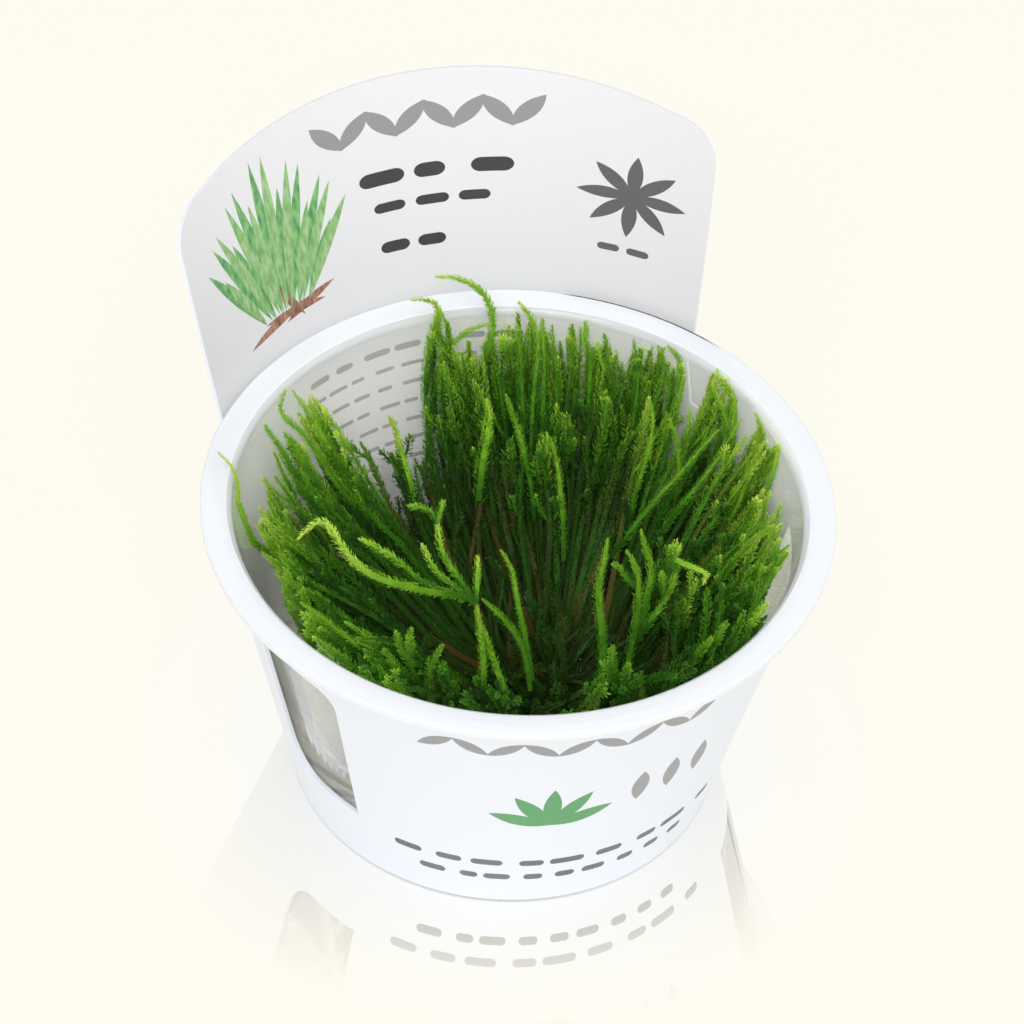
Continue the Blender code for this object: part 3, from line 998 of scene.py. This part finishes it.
def undergrowth(chance):
    """Shorter shoots all round the root, which hide the floor of the cup between the long locks."""
    lines = []
    for _ in range(UNDERGROWTH):
        azimuth = chance.uniform(0, 360)
        start = ROOT + polar(chance.uniform(*LOW_REACH) * MM, azimuth, chance.uniform(*LOW_HEIGHTS) * MM)
        slope = math.radians(chance.uniform(*LOW_SLOPES))
        length = chance.uniform(*LOW_LENGTHS) * MM
        tip = start + polar(length * math.cos(slope), azimuth, length * math.sin(slope))
        bow = (start + tip) / 2 + Vector((0, 0, chance.uniform(*LOW_BOWS) * length))
        lines.append(wavy(bezier((start, bow, tip), np.linspace(0, 1, STATIONS)), LOW_WANDER, chance))
    return lines


# %% Add side branches
BRANCH_SHARES = (0.62, 0.95)
BRANCH_LENGTHS = (1.6, 3.6)
BRANCH_STATIONS = 6


def point_on(lines, index, share):
    """Points on the lines numbered index, at shares of their length, and the directions there."""
    last = lines.shape[1] - 1
    place = (share * last).clip(0, last - 1e-6)
    lower = place.astype(int)
    part = (place - lower)[:, None]
    first, second = lines[index, lower], lines[index, lower + 1]
    directions = unit(np.gradient(lines, axis=1))
    along = directions[index, lower] * (1 - part) + directions[index, lower + 1] * part
    return first * (1 - part) + second * part, unit(along)


def across(along, turn):
    """A direction square to along, turned round it by an angle."""
    helper = np.where(np.abs(along[..., 2:]) < 0.9, (0.0, 0.0, 1.0), (1.0, 0.0, 0.0))
    first = unit(np.cross(along, helper))
    second = np.cross(along, first)
    return first * np.cos(turn)[..., None] + second * np.sin(turn)[..., None]


def branch_off(lines, chance):
    """One short shoot for each long one, which leaves it at an angle and bends back along it."""
    index = np.arange(len(lines))
    share = chance.uniform(*BRANCH_SHARES, len(index))
    foot, along = point_on(lines, index, share)
    out = across(along, chance.uniform(0, math.tau, len(index)))
    length = chance.uniform(*BRANCH_LENGTHS, len(index)) * MM
    steps = np.linspace(0, 1, BRANCH_STATIONS)[None, :, None]
    forward = along[:, None] * steps * length[:, None, None] * 1.2
    sideways = out[:, None] * np.sin(steps * 1.4) * length[:, None, None] * 0.5
    return foot[:, None] + forward + sideways


# %% [markdown]
# ## Stems and leaves
#
# A shoot's leaves stand round its stem in a spiral, each one golden turn on from the last, as they grow.
# Pressed close on the old stem and open near the tip, they give the shoot its bristly plume. All stems of
# a sheaf are computed at once as three-sided tubes, and all leaves as pairs of triangles.

# %% Grow the stems
STEM_SIDES = 3
STEM_TAPER = 4.0
STEM_TIP = 0.2


def stem_radius(looks, owner, share):
    return looks["stem"][owner] * (1 - (1 - STEM_TIP) * share**STEM_TAPER)


def stem_tubes(lines, looks):
    """Tubes along the lines, as points, triangles, the share along the line and the line of each point."""
    count, stations, _ = lines.shape
    along = unit(np.gradient(lines, axis=1))
    turns = np.broadcast_to(np.arange(STEM_SIDES) * math.tau / STEM_SIDES, (count, stations, STEM_SIDES))
    spokes = across(np.repeat(along[:, :, None], STEM_SIDES, axis=2), turns)
    share = np.linspace(0, 1, stations)
    taper = stem_radius(looks, np.arange(count)[:, None], share)
    points = lines[:, :, None] + spokes * taper[:, :, None, None]
    ring = np.arange(STEM_SIDES)
    following = (ring + 1) % STEM_SIDES
    step = np.arange(stations - 1)[:, None] * STEM_SIDES
    above = step + STEM_SIDES
    quads = np.stack([ring + step, following + step, following + above, ring + above], -1)
    shifts = np.arange(count)[:, None, None, None] * stations * STEM_SIDES
    quads = (quads[None] + shifts).reshape(-1, 4)
    triangles = np.concatenate([quads[:, [0, 1, 2]], quads[:, [0, 2, 3]]])
    shares = np.broadcast_to(share[None, :, None], (count, stations, STEM_SIDES))
    owner = np.broadcast_to(np.arange(count)[:, None, None], shares.shape)
    return points.reshape(-1, 3), triangles, shares.ravel() - 0.1, owner.ravel()


# %% Grow the leaves
GOLDEN_TURN = 2.39996
LEAF_MIDDLE = 0.4
LEAF_HALF_WIDTH = 0.19
LEAF_FOLD = 0.07
LEAF_REACH = 0.92
CORNER_TONES = (-0.1, 0.0, 0.16, 0.0)


def leaves(lines, looks, chance):
    """Folded leaves in a spiral up each line: pressed to the stem below, open and longer in the plume."""
    first_leaf = looks["foot"]
    lengths = np.linalg.norm(np.diff(lines, axis=1), axis=-1).sum(1)
    counts = np.maximum(6, (lengths * (1 - first_leaf) / looks["pitch"]).astype(int))
    owner = np.repeat(np.arange(len(lines)), counts)
    number = np.arange(len(owner)) - np.repeat(np.cumsum(counts) - counts, counts)
    share = first_leaf[owner] + (1 - first_leaf[owner]) * ((number + 0.5) / counts[owner]) ** 0.75
    foot, along = point_on(lines, owner, share)
    out = across(along, number * GOLDEN_TURN + chance.uniform(-0.6, 0.6, len(owner)))
    foot = foot + out * 0.8 * stem_radius(looks, owner, share)[:, None]
    wide = np.cross(along, out)
    plume = ((share - looks["plume"][owner]) / 0.35).clip(0, 1)
    size = looks["leaf"][owner] * chance.uniform(0.7, 1.2, len(owner)) * (0.6 + 0.4 * plume - 0.5 * share**14)
    open_angle = looks["spread"][owner] * (0.6 + 0.4 * plume) + chance.normal(0, 0.1, len(owner))
    open_angle = open_angle * (1 - 0.35 * share**8)
    lean = np.cos(open_angle)[:, None] * along + np.sin(open_angle)[:, None] * out
    curl = out * chance.uniform(-0.2, 0.5, len(owner))[:, None]
    size = size[:, None]
    middle = foot + lean * size * LEAF_MIDDLE
    half = wide * size * LEAF_HALF_WIDTH
    raised = out * size * LEAF_FOLD
    tip = foot + lean * size * LEAF_REACH + curl * size * 0.3
    corners = np.stack([foot, middle + half + raised, tip, middle - half + raised], 1)
    base = np.arange(len(owner))[:, None] * 4
    triangles = np.concatenate([base + (0, 1, 2), base + (0, 2, 3)])
    tones = (share[:, None] + np.array(CORNER_TONES)).ravel()
    return corners.reshape(-1, 3), triangles, tones, np.repeat(owner, 4)


# %% [markdown]
# ## The green of the leaves
#
# Fresh tips are yellow-green and older leaves are darker, down to brown stems low in the tuft. The
# darkening is partly painted shade: the greens get darker towards the foot of each shoot and for tips
# that stand low in the cup, where the tuft lies in shade. Each corner carries this tone, shade included,
# and its wither as attributes, so one material shades the whole tuft, and the colours stay with the
# leaves in any view.

# %% Moss leaf finish
# From the darkest to the brightest green, at even steps of the tone, whose low end is partly painted shade.
LEAF_GREENS = (
    (0.042, 0.060, 0.016, 1),
    (0.036, 0.130, 0.013, 1),
    (0.086, 0.290, 0.015, 1),
    (0.280, 0.570, 0.036, 1),
    (0.640, 0.800, 0.110, 1),
)
WITHERED = (0.20, 0.11, 0.035, 1)
MOTTLE_SCALE = 500.0
MOTTLE = (-0.08, 0.08)


def moss_leaf():
    """Moist green blades: brown-green at the tuft's foot, deep green higher up, yellow-green at the tips; the
    darker greens are partly painted shade.
    """
    material, tree, shader = new_material("moss_leaf", Roughness=0.5, IOR=1.38, Specular_IOR_Level=0.35)
    fresh_and_shaded = add(tree, "ShaderNodeAttribute", attribute_name="freshness_and_shade").outputs["Fac"]
    withered = add(tree, "ShaderNodeAttribute", attribute_name="wither").outputs["Fac"]
    spot = add(tree, "ShaderNodeTexCoord").outputs["Object"]
    mottle = add(tree, "ShaderNodeTexNoise", spot, None, MOTTLE_SCALE, 2.0)
    shade = add(tree, "ShaderNodeMapRange", mottle, 0.25, 0.75, *MOTTLE)
    greens = add(tree, "ShaderNodeValToRGB", maths(tree, "ADD", fresh_and_shaded, shade))
    ramp = greens.color_ramp.elements
    for number in range(1, 4):
        ramp.new(number / 4)
    for stop, colour in zip(ramp, LEAF_GREENS):
        stop.color = colour
    mixed = add(tree, "ShaderNodeMixRGB", withered, greens, WITHERED)
    feed(tree, shader.inputs["Base Color"], mixed)
    return material


MOSS_LEAF = moss_leaf()
print(MOSS_LEAF.name, "shades from", len(LEAF_GREENS), "greens")


# %% Clothe the shoots
STEM_RADIUS = 0.34 * MM
LEAF_LENGTH = 0.84 * MM
LEAF_SPREAD = 0.85
LEAF_PITCH = 0.095 * MM


def add_moss(name, parts, *nodes):
    """Shows one mesh of several parts, each given as points, triangles, tone with painted shade, and wither.
    """
    shift = 0
    triangles = []
    for part in parts:
        triangles.append(part[1] + shift)
        shift += len(part[0])
    data = bpy.data.meshes.new(name)
    data.from_pydata(np.concatenate([part[0] for part in parts]), [], np.concatenate(triangles))
    for layer, place in (("freshness_and_shade", 2), ("wither", 3)):
        values = np.concatenate([part[place] for part in parts]).astype(np.float32)
        data.attributes.new(layer, "FLOAT", "POINT").data.foreach_set("value", values)
    data.materials.append(MOSS_LEAF)
    show_piece(data, "moss_shoots", *nodes)


def clothe(lines, looks, chance):
    """Stems and leaves for lines. looks holds an array for each trait, with one value for each line."""
    parts = []
    for points, triangles, share, owner in (stem_tubes(lines, looks), leaves(lines, looks, chance)):
        # The tone rises from the old green to the tip green along each shoot; its dark foot is partly painted
        # shade.
        rise = share.clip(0, 1.2) ** looks["rise"][owner]
        fresh_and_shaded = looks["old"][owner] + (looks["tip_tone"] - looks["old"])[owner] * rise
        withered = looks["wither"][owner] * (1.1 - share).clip(0, 1)
        parts.append((points, triangles, fresh_and_shaded.clip(0, 1), withered))
    return parts


# %% Grow the four sheaves
# How bright the tips of each sheaf are, how quickly the shoots darken below them, which is partly painted
# shade, and how thick they are.
SHEAF_LOOKS = {
    "moss_back": ((0.8, 1.1), (4.5, 8.0), 1.25),
    "moss_left": ((0.9, 1.2), (1.4, 3.0), 1.12),
    "moss_front": ((0.7, 1.0), (2.0, 4.0), 1.0),
    "moss_right": ((0.85, 1.15), (1.4, 3.2), 1.15),
}
# The low growth's duller tips are partly painted shade, as it stands deep in the tuft.
UNDERGROWTH_LOOKS = ((0.6, 0.9), (1.6, 3.0), 1.0)
# Painted shade: tips that stand deep in the cup get duller, darker greens, and tips high in the light the
# freshest.
TIP_HEIGHTS = (24 * MM, 34 * MM, 37 * MM, 42 * MM)
TIP_DEPTH_SHADE = (0.25, 0.5, 0.8, 1.0)


def shoot_looks(lines, tips, fades, thickness, chance):
    """The traits of a set of lines, each an array with one value for each line."""
    count = len(lines)
    return {
        "stem": STEM_RADIUS * thickness * chance.uniform(0.8, 1.2, count),
        "pitch": np.full(count, LEAF_PITCH),
        "leaf": LEAF_LENGTH * thickness * chance.uniform(0.8, 1.2, count),
        "spread": LEAF_SPREAD * chance.uniform(0.7, 1.2, count),
        "plume": chance.uniform(0.35, 0.65, count),
        "foot": chance.uniform(0.1, 0.3, count),
        # The tip tone and the old tone are partly painted shade: the tip tone is scaled down for tips low in
        # the cup, and the old tone keeps the shoots' feet dark.
        "tip_tone": chance.uniform(*tips, count) * np.interp(lines[:, -1, 2], TIP_HEIGHTS, TIP_DEPTH_SHADE),
        "old": chance.uniform(0.03, 0.22, count),
        "rise": chance.uniform(*fades, count),
        "wither": chance.uniform(0.5, 0.95, count) * (chance.uniform(0, 1, count) < 0.1),
    }


def make_sheaf(node, chance):
    tall, drops = long_shoots(node, chance)
    lines = keep_in_cup(np.array(tall))
    looks = shoot_looks(lines, *SHEAF_LOOKS[node], chance)
    # Painted shade: shoots whose tips end lower in the tuft get darker tips.
    looks["tip_tone"] *= 1 - 1.8 * drops
    parts = clothe(lines, looks, chance)
    branches = branch_off(lines, chance)
    looks["stem"] *= 0.5
    looks["leaf"] *= 0.85
    looks["foot"] *= 0
    looks["plume"] *= 0
    looks["old"] = looks["tip_tone"] * 0.65
    looks["wither"] *= 0
    parts += clothe(keep_in_cup(branches), looks, chance)
    add_moss("leafy_" + node, parts, node)


def make_undergrowth(chance):
    lines = keep_in_cup(np.array(undergrowth(chance)))
    looks = shoot_looks(lines, *UNDERGROWTH_LOOKS, chance)
    add_moss("moss_undergrowth", clothe(lines, looks, chance), *SHEAVES)


for number, node in enumerate(SHEAVES):
    make_sheaf(node, np.random.default_rng(20 + number))
make_undergrowth(np.random.default_rng(30))

# %% [markdown]
# ## Strands that stand out
#
# Some strands catch the eye in the photograph: strings that hang over the rim, a thick one that curls
# across the left side, and bright forked sprigs at the front. Chance would never draw these, so each one is
# a list of points from its tip down, with its own leaf, stem, spread and tip tone, the tone partly painted
# shade.

# %% Place the single strands
STRANDS = (
    (0.64, 0.27, 0.8, 0.95, (-34.6, 16.1, 46.5), (-33.2, 14.9, 46), (-32.6, 13.1, 45), (-33.5, 11.3, 42),
     (-32.6, 12.1, 38), (-31.2, 12.2, 33), (-23.3, 16.6, 24), (-10.9, 12.1, 14)),
    (0.72, 0.5, 0.75, 0.98, (-27.2, 5.1, 40), (-26.7, 4.7, 41.5), (-24.5, 5.2, 43), (-23.8, 4.4, 43.2),
     (-23.4, 0.4, 42.5), (-22.3, -3.2, 42), (-20.1, -5.2, 41), (-16, -5.7, 39), (-13.1, -6, 37.5),
     (-8.7, -5, 35), (-6.4, -4.1, 32)),
    (0.76, 0.32, 0.85, 0.8, (-18.9, 5.8, 37), (-17.4, 3.4, 37.5), (-15.9, 0.3, 38), (-14.9, -2.2, 38),
     (-13.3, -3.8, 37), (-10.9, -4.7, 36)),
    (0.72, 0.38, 0.75, 0.82, (-8.5, 6.3, 37), (-9.3, 2.2, 36), (-8.7, 0.3, 35), (-7.8, -2.4, 34),
     (-6.4, -3.7, 32)),
    (0.7, 0.3, 0.85, 0.82, (-11.2, 9.7, 37), (-10, 9, 37.5), (-8.8, 7.8, 37.5), (-8.7, 5.8, 37)),
    (0.7, 0.3, 0.8, 0.84, (-7.3, 7.8, 39), (-8, 6.8, 38), (-8.7, 5.7, 37)),
    (0.68, 0.34, 0.7, 0.86, (-10.9, 4.8, 35), (-11, 2.8, 35), (-10.5, 0, 34.5), (-8.5, -2.5, 33.5),
     (-6.4, -3.7, 32)),
    (0.68, 0.36, 0.64, 0.92, (-5.1, -0.1, 36), (-5.7, -1.9, 34), (-6.4, -3.9, 32)),
    (0.72, 0.45, 0.56, 0.85, (-6.4, -3.9, 32), (-6.1, -5, 28.5), (-5.9, -6.4, 24), (-6, -7.8, 17)),
    (0.72, 0.41, 0.56, 0.88, (-6.2, -3.9, 30), (-5.1, -6.1, 25.5), (-3.9, -7.8, 21), (-2.8, -9.1, 17)),
    (0.59, 0.36, 0.56, 0.75, (-5.5, -3.8, 32), (-2.7, -4.5, 28.5), (-0.9, -5.1, 25.5), (0.1, -5.7, 22),
     (0.5, -7.1, 17)),
    (0.59, 0.32, 0.64, 0.8, (-2.3, -0.8, 37), (-0.9, -1.6, 34), (-0.4, -3.2, 29), (0.4, -4.3, 24),
     (1, -6.4, 18)),
    (0.68, 0.3, 0.8, 0.78, (-29.1, -2.6, 36.5), (-27.1, -4.3, 35.5), (-24.5, -6.1, 33), (-23.1, -6.9, 32),
     (-21.5, -7.5, 30.5), (-19.4, -8.1, 26), (-13.3, -8, 20)),
    (0.68, 0.3, 0.8, 0.74, (-24.2, -5.9, 35), (-22, -7, 33.5), (-20.5, -7.5, 31.5), (-17.6, -8.3, 27),
     (-13.7, -9, 22)),
    (0.76, 0.3, 0.9, 0.72, (-17, -10, 36), (-17.2, -10, 34), (-16.3, -9.5, 30), (-14.7, -9.8, 24)),
    (0.72, 0.3, 0.9, 0.7, (-13.4, -12, 34), (-14.8, -11.7, 31), (-14.9, -11.7, 26), (-14.1, -11.2, 22)),
    (0.76, 0.3, 0.9, 0.7, (-18.7, -9.2, 35), (-18.3, -9.6, 33), (-17.1, -10, 30), (-15, -10.7, 25)),
    (0.76, 0.3, 0.9, 0.66, (-20.4, -10, 33), (-18.7, -10.7, 30), (-15.5, -10.5, 24)),
    (0.72, 0.54, 0.6, 0.76, (11, -3.4, 38), (10.6, -4.2, 36.5), (9.9, -4.7, 34), (9.3, -5.5, 31),
     (9.6, -6.3, 27.5), (10, -7, 23.5), (9.5, -8.6, 16)),
    (0.72, 0.42, 0.65, 0.76, (12.7, -6.1, 38), (13.5, -6.6, 36.5), (14.2, -7, 34), (14.1, -7.4, 31.5),
     (14.4, -7.4, 28), (13.8, -7.5, 23), (12.3, -9.3, 16)),
    (0.6, 0.34, 0.7, 0.74, (10.8, -6.4, 36.5), (11.9, -6.1, 35.5), (12.6, -6.7, 34), (13.9, -7.1, 32)),
    (0.74, 0.45, 0.65, 0.74, (15.2, -4.1, 39), (15.3, -5.2, 37.5), (15.9, -6.2, 35.5), (15.9, -7, 33.5),
     (15.2, -7.5, 31), (15.1, -7.6, 28), (14.8, -7.8, 23)),
    (0.72, 0.4, 0.65, 0.8, (18.8, -8.6, 37), (18, -9.3, 34.5), (17.3, -9.1, 32), (16.6, -9.5, 30),
     (15.5, -9.5, 28.5), (14.3, -8.8, 25)),
    (0.68, 0.32, 0.75, 0.74, (16.4, -9.1, 36), (16.9, -9.1, 33.5), (16.8, -9.2, 31.5)),
    (0.62, 0.4, 0.6, 0.95, (21, -12.2, 36), (21.4, -11.9, 37.2), (20.2, -11.3, 37.8), (18.9, -10, 37.8),
     (18.1, -8.6, 37.5), (18.4, -9, 35)),
    (0.68, 0.27, 0.64, 0.8, (19.2, -7.3, 38.5), (18.5, -8.4, 38), (18, -8.9, 37.5)),
    (0.76, 0.32, 0.9, 0.64, (8.1, -15.1, 31), (8.1, -15.3, 28.5), (8.7, -15.5, 26), (9.6, -15.4, 22)),
    (0.72, 0.3, 0.9, 0.64, (6.7, -15.6, 29), (7.7, -15.7, 27), (9.1, -15.3, 24)),
    (0.72, 0.3, 0.9, 0.62, (9.8, -16.8, 29), (9.7, -16.3, 26), (9.7, -14.9, 22)),
    (0.76, 0.3, 0.9, 0.72, (22.4, -16.4, 32), (21.9, -16.3, 30), (21, -15.3, 26)),
    (0.72, 0.3, 0.9, 0.7, (20.6, -17.1, 31), (19.8, -16.7, 29), (19.1, -14.6, 24)),
    (0.68, 0.27, 0.9, 1, (26.9, -18.9, 37.5), (26.4, -19, 36.5), (25.6, -19, 35), (24.7, -17.1, 31)),
    (0.75, 0.3, 0.85, 0.98, (-3.4, 35.5, 48), (-2.2, 34.7, 48.6), (0, 34.8, 48.2), (0.4, 34.5, 47.5),
     (0.4, 34, 46), (-0.4, 34.6, 43.5), (-1, 34.7, 40), (-1.5, 33.8, 36), (-1.7, 33.2, 31), (-1.3, 32.5, 27),
     (-2.1, 32.2, 22), (-0.3, 28.4, 14)),
    (0.7, 0.24, 0.85, 0.85, (0.5, 34.4, 46), (0.7, 33.8, 45), (1.4, 33.2, 43.5), (1.3, 33.2, 41),
     (0.1, 32.7, 38), (-0.6, 32, 36), (-1.1, 31.8, 32), (-1.2, 31.6, 26)),
    (0.68, 0.22, 0.85, 0.8, (0.2, 33.8, 45.5), (-0.1, 33.3, 43), (-0.7, 33.5, 40), (-1.1, 33, 37),
     (-1.5, 33, 33)),
    (0.74, 0.28, 0.85, 0.92, (6.5, 32.2, 44.5), (5.3, 32.5, 44), (3.5, 32.9, 43.2), (2.1, 32.9, 42),
     (1.1, 32.8, 40.5), (-0.1, 32.2, 38.5), (-0.9, 31.7, 34.5), (-1.3, 31.2, 30), (-1.6, 30.9, 24)),
    (0.74, 0.4, 0.75, 0.98, (0.4, 36.8, 50), (1.6, 36.4, 50.4), (3.1, 35.2, 50.6), (4.8, 34.4, 49.8),
     (6, 33.7, 48.8), (6.9, 32.9, 46.5), (7.1, 32.2, 44), (6.4, 31.8, 41), (5.4, 31.5, 37.5), (4.6, 31.4, 32),
     (4.3, 31.2, 25)),
    (0.68, 0.32, 0.8, 0.9, (-23.9, 29.3, 44), (-23.9, 28.2, 43), (-23.8, 26.2, 42), (-23.2, 24.6, 41),
     (-21.5, 24.9, 40), (-20.5, 23.9, 38.5), (-19.6, 22.8, 36.5), (-17.8, 21.4, 33), (-15.6, 20, 29.5),
     (-11.8, 19.2, 24), (-4.9, 14.1, 16)),
    (0.72, 0.32, 0.8, 0.85, (-21.3, 28.1, 43), (-20.4, 27, 41.5), (-19.3, 25.6, 40), (-18.5, 24.1, 38),
     (-17.5, 22.7, 36), (-16, 21.5, 33), (-14.5, 20.7, 30), (-10.2, 19.8, 23)),
    (0.72, 0.32, 0.88, 0.75, (-26.3, 24, 42), (-25.4, 22.2, 41), (-24.5, 20.9, 39.5), (-22.9, 19.1, 36)),
    (0.72, 0.32, 0.88, 0.75, (-24.1, 22.4, 41.5), (-23, 21.5, 40), (-22.2, 20.4, 38), (-20, 18.5, 34)),
    (0.77, 0.36, 0.72, 0.92, (-9.1, 25.4, 38), (-8.4, 24.4, 36.5), (-8.1, 23.3, 34), (-7.4, 22.3, 31),
     (-6.8, 21.2, 27.5), (-5.1, 20.5, 21)),
    (0.85, 0.5, 0.8, 0.86, (3.3, 23, 40), (3.4, 21.7, 38.5), (2.8, 20.7, 36), (2, 19.8, 32.5),
     (1.5, 19.2, 26)),
    (0.7, 0.34, 0.75, 0.78, (10, 18.2, 37), (10.5, 16.8, 35.5), (10.8, 15.8, 33.5), (11, 14.7, 30.5),
     (11.2, 13.2, 25.5), (11.3, 12.3, 19)),
    (0.68, 0.34, 0.75, 0.74, (6, 23.2, 40), (6.8, 21.4, 37), (7.6, 19.7, 33), (8.3, 18.1, 28),
     (8.7, 17.1, 22.5)),
    (0.64, 0.3, 0.75, 0.8, (22.8, 15.1, 42), (23, 14.2, 40.5), (22.6, 13.1, 38), (21.5, 12, 34.5),
     (20.1, 11.4, 29.5), (19.3, 10.8, 22)),
    (0.64, 0.3, 0.75, 0.76, (24.5, 12.4, 41), (25.1, 11.8, 39.5), (25.5, 11.1, 37), (25.6, 10, 33),
     (25, 9.8, 27), (22.9, 9.1, 19)),
    (0.76, 0.4, 0.64, 0.88, (33.1, 16.6, 44.5), (33.2, 13.9, 43.5), (33, 11.3, 41.5), (32.2, 9, 38.5),
     (31.4, 7.2, 35), (30.3, 6.1, 30), (28.6, 5.2, 24)),
    (0.7, 0.36, 0.7, 0.85, (31, 14.4, 44), (30.6, 13.6, 43.2), (31.4, 12.6, 42.5), (31.8, 10.8, 40.5),
     (31.6, 8.9, 37), (30.6, 7.2, 32.5), (29, 6.9, 26)),
    (0.76, 0.4, 0.64, 0.84, (33.7, 13.6, 43.5), (33.1, 11.7, 42), (32.3, 9.8, 39.5), (31.5, 8, 36),
     (30.6, 6.9, 31), (28.8, 6.1, 25)),
    (0.7, 0.3, 0.8, 0.7, (30.1, 9.3, 40.5), (27.5, 8.4, 38.5), (24.6, 7.3, 36), (21.5, 7.4, 32),
     (18.4, 7.4, 27), (15.9, 8.6, 21)),
    (0.66, 0.28, 0.8, 0.66, (29.7, 5.8, 40), (27.2, 4.9, 37.5), (24.5, 4.4, 34), (22.7, 5.5, 29.5),
     (21.3, 6.6, 24)),
    (0.66, 0.34, 0.6, 0.8, (28.2, 14.5, 40), (27.5, 13.2, 38.5), (27.1, 12.1, 36), (21.5, 9, 22)),
    (0.7, 0.34, 0.7, 0.76, (32.1, 3.4, 40.5), (31.8, 2.4, 38.5), (30.8, 1.6, 35), (25.5, 1.2, 22)),
    (0.8, 0.32, 0.85, 0.9, (10.6, 33, 46.5), (11.4, 31.6, 45.8), (12.1, 30, 44.8), (11.8, 28.1, 43),
     (11.2, 26.7, 40), (10.5, 25.4, 36), (9.5, 22, 28)),
    (0.85, 0.34, 0.8, 0.78, (18.5, 28.8, 45), (18, 27.1, 43.3), (18.1, 25.3, 41), (16.5, 20, 29)),
    (0.85, 0.34, 0.8, 0.7, (20.3, 26.7, 44.2), (20.5, 25.3, 42.6), (20.7, 23.8, 40), (18.5, 18.5, 28)),
    (0.75, 0.3, 0.8, 0.74, (26.5, 23.1, 43.8), (26.8, 21.4, 42.4), (27.1, 19.4, 40), (23.5, 13, 27)),
    (0.7, 0.3, 0.8, 0.84, (28.4, 23.1, 44.2), (29.1, 21.8, 43.6), (28.6, 20.2, 42), (27.8, 18.4, 39.5),
     (23.5, 12.5, 27)),
    (0.85, 0.34, 0.8, 0.78, (13.2, 30.7, 44.8), (12.7, 28.9, 43), (12.3, 26.8, 40.5), (10.8, 21.5, 28)),
    (0.75, 0.3, 0.8, 0.7, (9.9, 30.9, 44.5), (9.5, 29, 42.8), (9.3, 27.2, 40), (8.3, 21, 28)),
    (0.75, 0.3, 0.8, 0.7, (14.2, 29.8, 44.3), (13.8, 28, 42.6), (13.7, 26, 40), (12.5, 20, 28)),
    (0.75, 0.3, 0.8, 0.72, (23.8, 25, 43.8), (23.7, 23.4, 42.4), (23.4, 21.4, 40), (20.5, 15.5, 28)),
    (0.68, 0.32, 0.72, 0.9, (35, 8.2, 43.5), (35.3, 6.9, 42.5), (35.9, 6, 41.8), (36.3, 5.2, 41),
     (35.6, 4.2, 38.5), (34.2, 2.6, 35), (32.3, 1.3, 29.5)),
    (0.68, 0.32, 0.72, 0.9, (36.8, 2.3, 43), (36, 2.1, 42.5), (35.3, 1.3, 41), (34.3, 0.8, 38.5),
     (32.6, -0.1, 33.5)),
)
STRAND_STATIONS = 30
STRAND_PITCH = 0.06 * MM
TALL = 43.4 * MM


def smooth_path(points):
    """Points at even distances along a path, with its corners softened."""
    path = np.array(points, dtype=float)[::-1] * MM
    reach = np.concatenate([[0], np.cumsum(np.linalg.norm(np.diff(path, axis=0), axis=1))])
    even = np.linspace(0, reach[-1], STRAND_STATIONS)
    line = np.stack([np.interp(even, reach, path[:, axis]) for axis in range(3)], 1)
    for _ in range(3):
        line[1:-1] = (line[:-2] + 2 * line[1:-1] + line[2:]) / 4
    return line


def make_strands(chance):
    lines = keep_in_cup(np.array([smooth_path(strand[4:]) for strand in STRANDS]))
    leaf, stem, spread, tip_tone = (np.array([strand[place] for strand in STRANDS]) for place in range(4))
    zero = np.zeros(len(lines))
    looks = {
        "stem": stem * MM,
        "pitch": zero + STRAND_PITCH,
        "leaf": leaf * MM,
        "spread": spread,
        "plume": zero - 0.3,
        "foot": zero + 0.02,
        "tip_tone": tip_tone,
        "old": tip_tone * 0.4,
        "rise": np.where(lines[:, -1, 2] > TALL, 1.3, 0.6),
        "wither": zero,
    }
    add_moss("single_strands", clothe(lines, looks, chance), *SHEAVES)


make_strands(np.random.default_rng(7))
